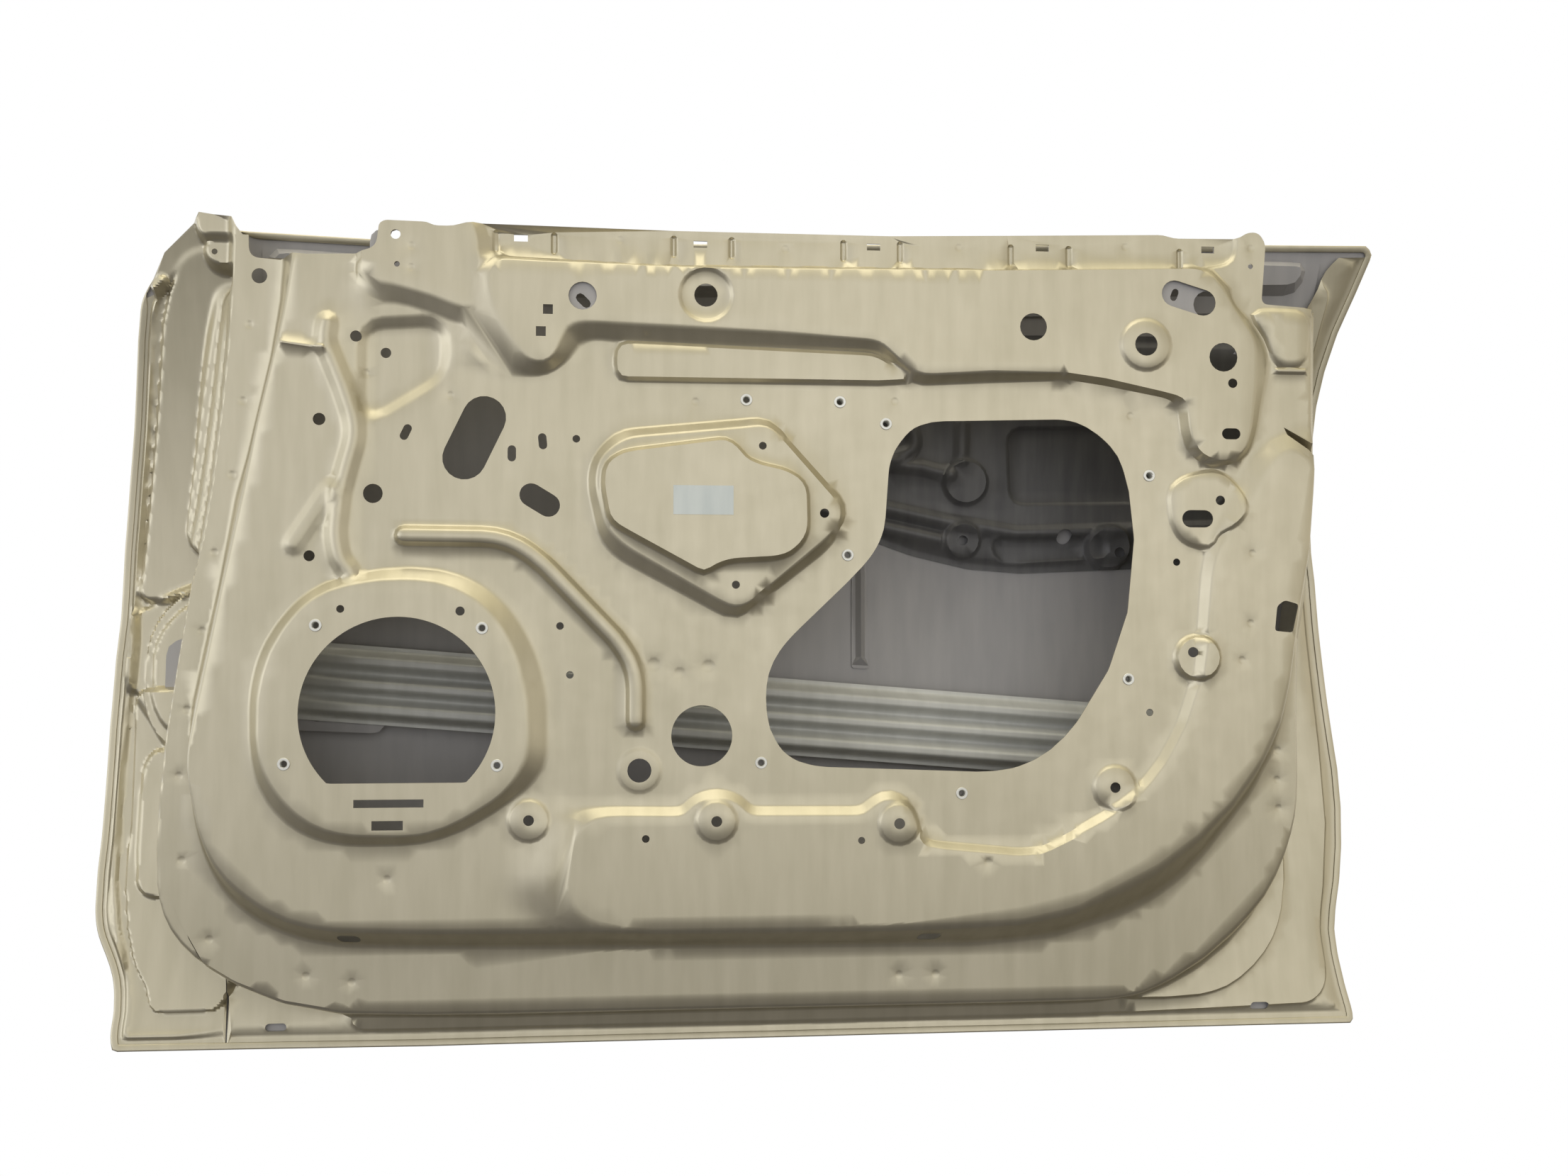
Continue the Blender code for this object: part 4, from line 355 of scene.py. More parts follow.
BORDER_CREST_SHARES = (
    (0.362, 0.288), (0.443, 0.286), (0.450, 0.300), (0.466, 0.309), (0.482, 0.300),
    (0.489, 0.286), (0.575, 0.285), (0.584, 0.298), (0.594, 0.305), (0.607, 0.296),
    (0.613, 0.272), (0.618, 0.250), (0.634, 0.245), (0.689, 0.236), (0.707, 0.238),
    (0.730, 0.255), (0.757, 0.276), (0.783, 0.302), (0.806, 0.344), (0.822, 0.392),
    (0.833, 0.443), (0.838, 0.502), (0.844, 0.595), (0.870, 0.640), (0.890, 0.700),
    (0.905, 0.720), (0.921, 0.700), (0.916, 0.601), (0.907, 0.539), (0.903, 0.495),
    (0.893, 0.393), (0.855, 0.296), (0.797, 0.224), (0.734, 0.177), (0.693, 0.164),
    (0.592, 0.159), (0.400, 0.161), (0.362, 0.180),
)
BORDER_FOOT_SHARES = (
    (0.345, 0.315), (0.357, 0.302), (0.440, 0.300), (0.447, 0.313), (0.466, 0.323),
    (0.485, 0.313), (0.492, 0.300), (0.572, 0.299), (0.580, 0.311), (0.594, 0.319),
    (0.611, 0.307), (0.618, 0.276), (0.622, 0.260), (0.634, 0.256), (0.689, 0.247),
    (0.709, 0.249), (0.728, 0.265), (0.754, 0.288), (0.776, 0.312), (0.798, 0.350),
    (0.813, 0.394), (0.824, 0.443), (0.829, 0.502), (0.833, 0.600), (0.850, 0.660),
    (0.880, 0.740), (0.925, 0.760), (0.938, 0.740), (0.937, 0.671), (0.929, 0.547),
    (0.922, 0.496), (0.919, 0.459), (0.915, 0.406), (0.906, 0.356), (0.887, 0.302),
    (0.831, 0.195), (0.783, 0.152), (0.725, 0.126), (0.662, 0.120), (0.380, 0.126),
    (0.290, 0.200),
)
BEAD_SHARES = (
    (0.240, 0.610), (0.305, 0.609), (0.323, 0.599), (0.342, 0.576), (0.392, 0.494),
    (0.403, 0.468), (0.407, 0.445), (0.407, 0.397),
)
LOCK_BOSS_SHARES = (
    (0.811, 0.660), (0.812, 0.672), (0.821, 0.684), (0.847, 0.694), (0.863, 0.673),
    (0.867, 0.648), (0.860, 0.633), (0.844, 0.620), (0.840, 0.603), (0.821, 0.611),
    (0.813, 0.630),
)
REAR_POCKET_SHARES = (
    (0.876, 0.886, MID), (0.890, 0.889, MID), (0.918, 0.887, MID), (0.919, 0.860),
    (0.916, 0.826, MID), (0.896, 0.825, MID), (0.889, 0.860),
)
FRONT_RIB_SHARES = (
    (0.184, 0.853), (0.182, 0.833), (0.187, 0.814), (0.196, 0.780), (0.203, 0.748),
    (0.205, 0.723), (0.200, 0.695), (0.194, 0.661), (0.191, 0.608), (0.195, 0.581),
    (0.201, 0.570),
)
FRONT_STEP_SHARES = ((0.153, 0.830), (0.181, 0.824))
TRIANGLE_SHARES = (
    (0.214, 0.845, MID), (0.214, 0.752, MID), (0.262, 0.800, MID), (0.262, 0.850, MID),
)
TRIANGLE_DEPTH = 0.006
TRIANGLE_RUN = 0.013
LOWER_DIAGONAL_SHARES = ((0.187, 0.662), (0.162, 0.600))
REAR_BAR_SHARES = ((0.896, 0.818), (0.917, 0.818))
BELT_RIB_SHARES = (0.304, 0.346, 0.434, 0.477, 0.561, 0.604, 0.689, 0.734, 0.821)
BELT_RIB_TOP_SHARE = 0.962
BELT_RIB_FOOT_SHARE = 0.943

# Beads, half the flat top and the run of each flank
BEAD_TOP_HALF = 0.0040
BEAD_FLANK = 0.0060
BEAD_RISE = 0.0070
GROOVE_TOP_HALF = 0.0015
RIB_TOP_HALF = 0.0015
RIB_FLANK = 0.0110
RIB_RISE = 0.0065
SOFT_RIB_RISE = 0.0028
LINE_HALF = 0.0008
LINE_FLANK = 0.0030
LINE_RISE = 0.0025
BELT_RIB_DEPTH = 0.0030

# Round bosses, place in shares, then radius and rise
BOSSES = (
    (0.3302, 0.2841, 0.0150, 0.0025), (0.4658, 0.2818, 0.0150, 0.0025),
    (0.6003, 0.2771, 0.0150, 0.0025), (0.7653, 0.3159, 0.0165, 0.0030),
    (0.8290, 0.4700, 0.0170, 0.0060), (0.7889, 0.8434, 0.0200, 0.0025),
    (0.4573, 0.8921, 0.0200, -0.0030), (0.4098, 0.3400, 0.0160, 0.0010),
)

# Openings of the inner panel
SERVICE_SHARES = (
    (0.627, 0.750), (0.735, 0.755), (0.756, 0.737), (0.771, 0.712), (0.779, 0.669),
    (0.783, 0.612), (0.778, 0.524), (0.763, 0.455), (0.738, 0.394), (0.717, 0.359),
    (0.690, 0.338), (0.661, 0.335), (0.573, 0.341), (0.537, 0.343), (0.517, 0.355),
    (0.504, 0.387), (0.502, 0.425), (0.504, 0.453), (0.513, 0.481), (0.527, 0.504),
    (0.563, 0.558), (0.582, 0.590), (0.591, 0.618), (0.593, 0.660), (0.594, 0.692),
    (0.598, 0.714), (0.611, 0.741),
)
SPEAKER_CENTRE_SHARES = (0.2374, 0.4070)
SPEAKER_RADIUS = 0.0821
SPEAKER_SIDES = 96
SPEAKER_FLAT_SHARE = 0.3289
NOTCH_SHARES = (
    (0.891, 0.532, SHARP), (0.897, 0.539, SHARP), (0.908, 0.534, SHARP), (0.903, 0.500, SHARP),
    (0.889, 0.502, SHARP),
)
# Place in shares and radius
ROUND_HOLES = (
    (0.3673, 0.8875, 0.0122), (0.4573, 0.8921, 0.0102), (0.7027, 0.8622, 0.0122),
    (0.7889, 0.8434, 0.0103), (0.8496, 0.8302, 0.0130), (0.8567, 0.7990, 0.0043),
    (0.2043, 0.8385, 0.0048), (0.2251, 0.8211, 0.0045), (0.1790, 0.7424, 0.0053),
    (0.2175, 0.6578, 0.0083), (0.1731, 0.5860, 0.0047), (0.3630, 0.7236, 0.0033),
    (0.4992, 0.7165, 0.0034), (0.5449, 0.6385, 0.0041), (0.4795, 0.5545, 0.0035),
    (0.3519, 0.5067, 0.0033), (0.3592, 0.4504, 0.0033), (0.1970, 0.5253, 0.0033),
    (0.2811, 0.5232, 0.0039), (0.4553, 0.3796, 0.0265), (0.4098, 0.3400, 0.0104),
    (0.3302, 0.2841, 0.0046), (0.4658, 0.2818, 0.0047), (0.6003, 0.2771, 0.0048),
    (0.4145, 0.2625, 0.0033), (0.5724, 0.2579, 0.0031), (0.7653, 0.3159, 0.0047),
    (0.7931, 0.4046, 0.0033), (0.8254, 0.4765, 0.0046), (0.8151, 0.5845, 0.0033),
    (0.8486, 0.6589, 0.0043), (0.1287, 0.9176, 0.0067), (0.2340, 0.9203, 0.0024),
    (0.2328, 0.9547, 0.0042), (0.8757, 0.9448, 0.0023),
)
# Two end places in shares and the end radius
SLOT_HOLES = (
    (0.2964, 0.7468, 0.2823, 0.6998, 0.0187), (0.2417, 0.7330, 0.2392, 0.7245, 0.0036),
    (0.3164, 0.7103, 0.3164, 0.7012, 0.0036), (0.3383, 0.7247, 0.3389, 0.7157, 0.0036),
    (0.8119, 0.9060, 0.8340, 0.8956, 0.0118), (0.8521, 0.7380, 0.8581, 0.7380, 0.0050),
    (0.8252, 0.6365, 0.8362, 0.6365, 0.0078), (0.1960, 0.1475, 0.2050, 0.1470, 0.0045),
    (0.6220, 0.1390, 0.6320, 0.1388, 0.0045), (0.1335, 0.0285, 0.1433, 0.0285, 0.0034),
    (0.9020, 0.0285, 0.9110, 0.0285, 0.0036), (0.3305, 0.6580, 0.3430, 0.6460, 0.0100),
)
# Place in shares, half width and half height
RECT_HOLES = (
    (0.3423, 0.8710, 0.0042, 0.0042), (0.3373, 0.8453, 0.0042, 0.0042),
    (0.2312, 0.2813, 0.0130, 0.0040), (0.2320, 0.3060, 0.0290, 0.0034),
    (0.3218, 0.9580, 0.0060, 0.0030), (0.4537, 0.9560, 0.0060, 0.0030),
    (0.5838, 0.9580, 0.0060, 0.0030), (0.7134, 0.9620, 0.0060, 0.0030),
    (0.8432, 0.9650, 0.0060, 0.0030),
)
RIVET_NUT_SHARES = (
    (0.1799, 0.5068), (0.2967, 0.5039), (0.1590, 0.3512), (0.3080, 0.3480), (0.4878, 0.7722),
    (0.5577, 0.7714), (0.5924, 0.7462), (0.7942, 0.6883), (0.5634, 0.5906), (0.7768, 0.4444),
    (0.4990, 0.3480), (0.6488, 0.3106),
)

# Ribbed sheet on the inner face of the outer skin
HANDLE_STIFFENER_SHARES = (
    (0.590, 0.880, MID), (0.760, 0.885), (0.925, 0.885, MID), (0.930, 0.750), (0.930, 0.590, MID),
    (0.816, 0.586), (0.724, 0.578), (0.680, 0.583), (0.634, 0.600), (0.580, 0.632),
    (0.520, 0.660, MID), (0.520, 0.800, MID),
)
STIFFENER_RIDGES = (
    ((0.530, 0.730), (0.640, 0.715), (0.662, 0.705)),
    ((0.530, 0.690), (0.600, 0.665), (0.660, 0.645), (0.720, 0.628), (0.900, 0.640)),
    ((0.540, 0.662), (0.600, 0.640), (0.655, 0.622)),
    ((0.672, 0.770), (0.672, 0.725)),
    ((0.600, 0.790), (0.632, 0.765), (0.634, 0.735), (0.600, 0.722)),
)
STIFFENER_POCKET_SHARES = (
    (0.712, 0.762, MID), (0.815, 0.765, MID), (0.890, 0.760, MID), (0.890, 0.672, MID),
    (0.815, 0.676), (0.716, 0.672, MID),
)
STIFFENER_LOW_POCKET_SHARES = (
    (0.700, 0.622, MID), (0.790, 0.626, MID), (0.794, 0.604, MID), (0.706, 0.596, MID),
)
STIFFENER_BOSSES = (
    (0.6760, 0.6960, 0.0190, 0.0060), (0.6740, 0.6210, 0.0150, 0.0060),
    (0.7960, 0.6130, 0.0190, 0.0090),
)
STIFFENER_HOLES = (
    (0.6740, 0.6210, 0.0048), (0.7590, 0.6270, 0.0072), (0.8040, 0.6060, 0.0050),
)
STIFFENER_BASE_RISE = 0.004
STIFFENER_RIDGE_RISE = 0.006
STIFFENER_POCKET_RISE = -0.003

# Impact beam, end places in shares of its middle line
BEAM_FRONT_SHARES = (0.112, 0.447)
BEAM_REAR_SHARES = (0.925, 0.345)
BEAM_DEPTH = 0.042
BEAM_SHEET = 0.0018
BEAM_HALF_WIDTH = 0.036
# Part of the half width, part of the ridge height
BEAM_PROFILE_SHARES = (
    (-1.00, 0.00), (-0.86, 0.00), (-0.72, 1.00), (-0.50, 1.00), (-0.34, 0.20), (-0.24, 0.20),
    (-0.10, 1.00), (0.10, 1.00), (0.24, 0.20), (0.34, 0.20), (0.50, 1.00), (0.72, 1.00),
    (0.86, 0.00), (1.00, 0.00),
)
BEAM_RIDGE = 0.016
BEAM_SIDE_STEPS = 81
BEAM_STATIONS = 120
BEAM_SMOOTHING = np.array((1, 2, 3, 2, 1)) / 9
# Part of the length, part of the ridge height there
BEAM_TAPER_SHARES = ((0.00, 0.06), (0.03, 0.10), (0.09, 1.00), (0.88, 1.00),
                     (0.94, 0.10), (1.00, 0.06))

# Where the hinge-side pressing runs under the main one
LAP_START_SHARE = 0.150
LAP_RUN_SHARE = 0.030

# Rivet nuts
NUT_BODY_RADIUS = 0.0042
NUT_HEAD_RADIUS = 0.0053
NUT_BORE_RADIUS = 0.0030
NUT_HEAD_HEIGHT = 0.0008
NUT_BODY_LENGTH = 0.0110
NUT_CLEAR = 0.0002
NUT_SIDES = 32
NUT_THREADS = 9
NUT_THREAD_DEPTH = 0.00035
NUT_EDGE_SHARE = 0.4

# Spot-weld marks as place, radius and depth, then small dents of the same form
WELD_RADIUS = 0.0034
WELD_DEPTH = 0.0006
WELD_SHARES = (
    (0.122, 0.860), (0.118, 0.770), (0.111, 0.683), (0.099, 0.592), (0.091, 0.501),
    (0.081, 0.410), (0.076, 0.334), (0.079, 0.237), (0.099, 0.146), (0.168, 0.102),
    (0.201, 0.094), (0.607, 0.090), (0.635, 0.090), (0.907, 0.355), (0.906, 0.319),
    (0.907, 0.284), (0.244, 0.942), (0.244, 0.917), (0.211, 0.797), (0.272, 0.772),
    (0.450, 0.769), (0.599, 0.773), (0.780, 0.760), (0.230, 0.219), (0.667, 0.231),
    (0.872, 0.595), (0.870, 0.511), (0.863, 0.467), (0.394, 0.959), (0.517, 0.953),
    (0.649, 0.960), (0.778, 0.966), (0.876, 0.967),
)
# Rows of points round a mark, in shares of its radius
MARK_ROW_SHARES = (0.55, 0.9, 1.3)
MARK_SIDES = 10
WELDS = tuple((shares, WELD_RADIUS, WELD_DEPTH) for shares in WELD_SHARES)
DENTS = (
    ((0.420, 0.462), 0.0060, 0.0009), ((0.439, 0.452), 0.0050, 0.0007),
    ((0.460, 0.460), 0.0055, 0.0008),
)

# Paper label
LABEL_LOW_SHARES = (0.4334, 0.6345)
LABEL_HIGH_SHARES = (0.4771, 0.6680)
LABEL_THICKNESS = 0.00015
LABEL_LIFT = 0.00006
LABEL_STEPS = (27, 15)
LABEL_WAVES = (190, 260)

# Fold of the skin's edge
FOLD_STEPS = 8
LIP_STEPS = 5
# The hinge corner, where the fold leaves the pressing in view
OPEN_CORNER_SHARES = ((0.036, 0.915), (0.051, 0.954), (0.073, 0.989), (0.104, 0.985))

# Camera as in the photograph, its place from the door's lower hinge corner
CAMERA_PLACE = (0.4650, -1.5000, 0.3570)
CAMERA_YAW = math.radians(5.9)
CAMERA_PITCH = math.radians(2.25)
FOCAL_PIXELS = 2300
IMAGE_WIDTH = 2212
SENSOR_WIDTH = 36

# Tints, each as its darker and its lighter patches, then a finish as metal share and roughness
PAINT_DARK = (0.520, 0.480, 0.365)
PAINT_LIGHT = (0.590, 0.545, 0.425)
PAINT_FINISH = (0.80, 0.33)
INSIDE_DARK = (0.370, 0.362, 0.372)
INSIDE_LIGHT = (0.430, 0.420, 0.425)
INSIDE_FINISH = (0.10, 0.46)
# The beam's tints are a lightened copy of the inside paint: painted light for the light that
# reaches the beam through the openings
BEAM_DARK_WITH_PAINTED_LIGHT = (0.560, 0.565, 0.540)
BEAM_LIGHT_WITH_PAINTED_LIGHT = (0.660, 0.665, 0.640)
BEAM_FINISH = (0.10, 0.40)
STIFFENER_DARK = (0.105, 0.105, 0.110)
STIFFENER_LIGHT = (0.160, 0.158, 0.160)
STIFFENER_FINISH = (0.20, 0.45)
ZINC_DARK = (0.66, 0.66, 0.63)
ZINC_LIGHT = (0.78, 0.78, 0.75)
ZINC_FINISH = (0.70, 0.34)
PAPER_DARK = (0.56, 0.62, 0.64)
PAPER_LIGHT = (0.70, 0.75, 0.76)
PAPER_FINISH = (0.0, 0.55)

# Noise in the paint, each as scale and detail
STREAKS = (26, 5)
STREAK_STRETCH = (3.2, 1.0, 0.5)
STREAK_SHARE = 0.55
CLOUDS = (5, 3)
CLOUD_SHARE = 0.45
TINT_STOPS = (0.36, 0.50, 0.64)
GLOSS = (60, 4)
GLOSS_STOPS = (0.35, 0.65)
GLOSS_SPREAD = 0.02
FLAKES = (900, 2)
FLAKE_BUMP = 0.02
FLAKE_DEPTH = 0.001

# Studio light by height of the direction, from straight down to straight up, then its tint
# from the left to the right
STUDIO_HEIGHT_STOPS = (
    (0.00, (0.080, 0.075, 0.072)), (0.25, (0.12, 0.113, 0.107)), (0.38, (0.27, 0.262, 0.245)),
    (0.48, (0.74, 0.735, 0.71)), (0.55, (0.78, 0.775, 0.755)), (0.62, (0.52, 0.515, 0.50)),
    (0.78, (0.52, 0.50, 0.43)), (0.90, (0.93, 0.88, 0.68)), (1.00, (1.0, 0.95, 0.74)),
)
STUDIO_SIDE_STOPS = (
    (0.00, (0.98, 0.99, 1.0)), (0.25, (0.92, 0.93, 0.99)), (0.45, (0.76, 0.76, 0.76)),
    (0.62, (0.82, 0.82, 0.82)), (0.80, (0.74, 0.71, 0.65)), (1.00, (0.66, 0.62, 0.54)),
)
STUDIO_GAIN = 1.75
HALF_OF_EACH = (0.5, 0.5, 0.5)

# Lamps as name, place, width, power and colour, all turned to one aim
LAMP_AIM = (0.5, 0.0, -0.2)
LAMPS = (
    ("top lamp", (0.3, -0.9, 1.9), 1.6, 7, (1.0, 0.94, 0.80)),
    ("left lamp", (-1.9, -1.7, 0.3), 1.6, 5, (0.93, 0.95, 1.0)),
    ("front lamp", (1.2, -3.2, 0.5), 2.4, 5, (1.0, 0.99, 0.96)),
    ("back lamp", (0.6, 2.6, 1.2), 2.4, 22, (1.0, 0.98, 0.94)),
)

SHARP_ANGLE = math.radians(42)
SHIFT = np.array((ORIGIN_SHARES[0] * DOOR_LENGTH, LAP_DEPTH - ORIGIN_LEVEL,
                  ORIGIN_SHARES[1] * DOOR_HEIGHT))
PLATE_NODES = ("skin_brace", "outer_belt_rail", "inner_belt_rail", "mirror_reinforcement",
               "rear_belt_reinforcement", "latch_reinforcement", "front_beam_bracket",
               "rear_beam_bracket")


def crown(x, z):
    """How far the outer surface stands outboard, a flat parabola up the door and one along it."""
    up_share = z / DOOR_HEIGHT - SKIN_CROWN_MIDDLE_SHARE
    along_share = 2 * x / DOOR_LENGTH - 1
    rounded = SKIN_CROWN * (1 - (up_share / SKIN_CROWN_REACH_SHARE) ** 2)
    return rounded + SKIN_BOW * (1 - along_share ** 2)


def place(shares):
    """A place in metres from its two shares."""
    return np.array((shares[0] * DOOR_LENGTH, shares[1] * DOOR_HEIGHT))


def corner_curve(before, corner, after, radius):
    """Points of one rounded corner, a quadratic curve between its two cut points."""
    back = before - corner
    ahead = after - corner
    back_length = np.linalg.norm(back)
    ahead_length = np.linalg.norm(ahead)
    cut = min(radius, back_length / 2, ahead_length / 2)
    start = corner + back * cut / back_length
    end = corner + ahead * cut / ahead_length
    turn = math.pi - math.acos(max(-1, min(1, back @ ahead / back_length / ahead_length)))
    steps = math.ceil(turn / TURN_STEP)
    t = np.linspace(0, 1, steps + 1)[:, None] if steps > 1 else np.array(((0.5,),))
    return (1 - t) ** 2 * start + 2 * t * (1 - t) * corner + t ** 2 * end


def outline(shares, closed=True):
    """A smooth line through a table of shares, each corner rounded by its own radius."""
    places = [place(entry) for entry in shares]
    radii = [entry[2] if len(entry) > 2 else LOOSE for entry in shares]
    count = len(places)
    parts = []
    for index in range(count):
        if not closed and index in (0, count - 1):
            parts.append(places[index][None, :])
            continue
        before = places[index - 1]
        after = places[(index + 1) % count]
        parts.append(corner_curve(before, places[index], after, radii[index]))
    points = np.concatenate(parts)
    apart = np.linalg.norm(points - np.roll(points, 1, axis=0), axis=1)
    keep = apart > SHEET_GAP / 2
    if not closed:
        keep[0] = True
    return points[keep]


def circle(centre, radius, sides):
    """A round outline."""
    angle = np.arange(sides) * 2 * math.pi / sides
    return centre + radius * np.stack((np.cos(angle), np.sin(angle)), axis=1)


def slot(first, second, radius):
    """A slot outline, two half circles round its two end places."""
    along = second - first
    heading = math.atan2(along[1], along[0])
    swing = np.linspace(-math.pi / 2, math.pi / 2, SLOT_SIDES)
    ahead = heading + swing
    back = ahead + math.pi
    far = second + radius * np.stack((np.cos(ahead), np.sin(ahead)), axis=1)
    near = first + radius * np.stack((np.cos(back), np.sin(back)), axis=1)
    return np.concatenate((far, near))


def rectangle(centre, half_width, half_height):
    """A rectangle outline."""
    signs = np.array(((-1, -1), (1, -1), (1, 1), (-1, 1)))
    return centre + signs * np.array((half_width, half_height))


def line_distance(points, line, closed=True):
    """Distance of each point from a line of short straight pieces."""
    ends = np.roll(line, -1, axis=0) if closed else line[1:]
    starts = line if closed else line[:-1]
    nearest = np.full(len(points), np.inf)
    for start, end in zip(starts, ends):
        along = end - start
        share = ((points - start) @ along) / (along @ along)
        foot = start + np.clip(share, 0, 1)[:, None] * along
        nearest = np.minimum(nearest, np.linalg.norm(points - foot, axis=1))
    return nearest


def is_inside(points, ring):
    """Whether each point lies inside a closed line, counted by crossings."""
    inside = np.zeros(len(points), dtype=bool)
    for start, end in zip(ring, np.roll(ring, -1, axis=0)):
        if start[1] == end[1]:
            continue
        between = (start[1] > points[:, 1]) != (end[1] > points[:, 1])
        share = (points[:, 1] - start[1]) / (end[1] - start[1])
        inside ^= between & (points[:, 0] < start[0] + share * (end[0] - start[0]))
    return inside


def outside_distance(points, ring):
    """Distance from a closed line, negative inside it."""
    return line_distance(points, ring) * np.where(is_inside(points, ring), -1, 1)


def ease(share):
    """A straight fall from one to zero with a rounded start and end."""
    t = np.clip(share, 0, 1)
    steep = 1 / (1 - FILLET_SHARE)
    start = 1 - steep * t ** 2 / (2 * FILLET_SHARE)
    middle = 1 - steep * (t - FILLET_SHARE / 2)
    end = steep * (1 - t) ** 2 / (2 * FILLET_SHARE)
    return np.where(t < FILLET_SHARE, start, np.where(t > 1 - FILLET_SHARE, end, middle))


def offset_line(line, distance, closed=True):
    """A line moved sideways by a distance, corners mitred."""
    if closed:
        before = line - np.roll(line, 1, axis=0)
        after = np.roll(line, -1, axis=0) - line
    else:
        step = np.diff(line, axis=0)
        before = np.concatenate((step[:1], step))
        after = np.concatenate((step, step[-1:]))
    before = before / np.linalg.norm(before, axis=1)[:, None]
    after = after / np.linalg.norm(after, axis=1)[:, None]
    side = np.stack((before[:, 1] + after[:, 1], -before[:, 0] - after[:, 0]), axis=1)
    side = side / np.linalg.norm(side, axis=1)[:, None]
    mitre = np.clip(side[:, 0] * after[:, 1] - side[:, 1] * after[:, 0], LEAST_MITRE, 1)
    return line + side * (distance / mitre)[:, None]


def is_clockwise(ring):
    """Whether a closed line runs clockwise."""
    after = np.roll(ring, -1, axis=0)
    return np.sum(ring[:, 0] * after[:, 1] - after[:, 0] * ring[:, 1]) < 0


def grown(ring, distance):
    """A closed line moved outward by a distance."""
    return offset_line(ring, -distance if is_clockwise(ring) else distance)


def pressed_features():
    """All pressed shapes in order, as kind, line or pair of lines, amount, run."""
    features = [
        ("follow", outline(RIM_SHARES), RIM_RISE, STEEP_RUN),
        ("follow", outline(SHELF_SHARES), SHELF_RISE, STEEP_RUN),
        ("follow", outline(CORNER_RIM_SHARES), CORNER_RIM_RISE, WALL_RUN),
        ("follow", outline(RECESS_SHARES), RECESS_RISE, WALL_RUN),
        ("follow", outline(LOWER_FACE_SHARES), LOWER_FACE_RISE, STEEP_RUN),
        ("lift", outline(MIDDLE_FACE_SHARES), MIDDLE_FACE_RISE, WALL_RUN),
        ("lift", outline(HINGE_PAD_SHARES), HINGE_PAD_RISE, STEEP_RUN),
        ("lift", outline(HINGE_PAD_TOP_SHARES), HINGE_PAD_TOP_RISE, EDGE_RUN),
        ("lift", outline(LOW_PAD_SHARES), LOW_PAD_RISE, STEEP_RUN),
        ("bead", outline(EDGE_BEAD_UPPER_SHARES, False), EDGE_BEAD_RISE, EDGE_BEAD_HALF,
         EDGE_BEAD_FLANK),
        ("level", outline(RIDGE_LOW_SHARES), RIDGE_LOW_LEVEL, RIDGE_RUN),
        ("level", outline(RIDGE_HIGH_SHARES), RIDGE_HIGH_LEVEL, RIDGE_RUN),
        ("level", outline(TOP_CORNER_SHARES), CORNER_LEVEL, WALL_RUN),
        ("level", outline(CORNER_PAD_SHARES), CORNER_PAD_LEVEL, WALL_RUN),
        ("wall", (outline(RING_CREST_SHARES), outline(RING_FOOT_SHARES)), RING_LEVEL, 0),
        ("wall", (outline(PLATEAU_CREST_SHARES), outline(PLATEAU_FOOT_SHARES)),
         PLATEAU_LEVEL, 0),
        ("wall", (outline(BORDER_CREST_SHARES), outline(BORDER_FOOT_SHARES)),
         BORDER_LEVEL - PLATEAU_LEVEL, 1),
        ("wall", (outline(MIRROR_CREST_SHARES), outline(MIRROR_FOOT_SHARES)),
         MIRROR_LEVEL, 0),
        ("level", outline(BELT_FLANGE_SHARES), BELT_FLANGE_LEVEL, STEEP_RUN),
        ("wall", (outline(BELT_CREST_SHARES), outline(BELT_FOOT_SHARES)), BELT_LEVEL, 0),
        ("lift", outline(ARM_SHARES), ARM_RISE, STEEP_RUN),
        ("wall", (outline(SPEAKER_CREST_SHARES), outline(SPEAKER_FOOT_SHARES)),
         SPEAKER_LEVEL, 0),
        ("wall", (outline(BAND_CREST_SHARES), outline(PAD_FOOT_SHARES)), BAND_LEVEL, 0),
        ("level", outline(PAD_CREST_SHARES), PAD_LEVEL, STEEP_RUN),
        ("lift", outline(LOCK_BOSS_SHARES), POCKET_RISE, STEEP_RUN),
        ("lift", outline(REAR_POCKET_SHARES), POCKET_RISE, STEEP_RUN),
    ]
    features += [("bead", outline(BEAD_SHARES, False), BEAD_RISE, BEAD_TOP_HALF, BEAD_FLANK)]
    features.append(("lift", outline(TRIANGLE_SHARES), -TRIANGLE_DEPTH, TRIANGLE_RUN))
    ribs = ((FRONT_RIB_SHARES, RIB_RISE), (LOWER_DIAGONAL_SHARES, SOFT_RIB_RISE))
    features += [("bead", outline(line, False), rise, RIB_TOP_HALF, RIB_FLANK)
                 for line, rise in ribs]
    lines = (FRONT_STEP_SHARES, REAR_BAR_SHARES)
    features += [("bead", outline(line, False), LINE_RISE, LINE_HALF, LINE_FLANK)
                 for line in lines]
    for share in BELT_RIB_SHARES:
        ends = ((share, BELT_RIB_TOP_SHARE), (share, BELT_RIB_FOOT_SHARE))
        features.append(("bead", outline(ends, False), -BELT_RIB_DEPTH, LINE_HALF, LINE_FLANK))
    for along, up, radius, rise in BOSSES:
        ring = circle(place((along, up)), radius, NUT_SIDES)
        features.append(("lift", ring, rise, STEEP_RUN))
    return features


def reach_of(points, feature):
    """How much of a pressed shape each point gets, from zero to one."""
    kind, line = feature[0], feature[1]
    if kind == "wall":
        past_crest = np.maximum(outside_distance(points, line[0]), 0)
        before_foot = np.maximum(-outside_distance(points, line[1]), 0)
        return ease(past_crest / np.maximum(past_crest + before_foot, TINY))
    if kind == "bead":
        return ease((line_distance(points, line, False) - feature[3]) / feature[4])
    return ease(outside_distance(points, line) / feature[3])


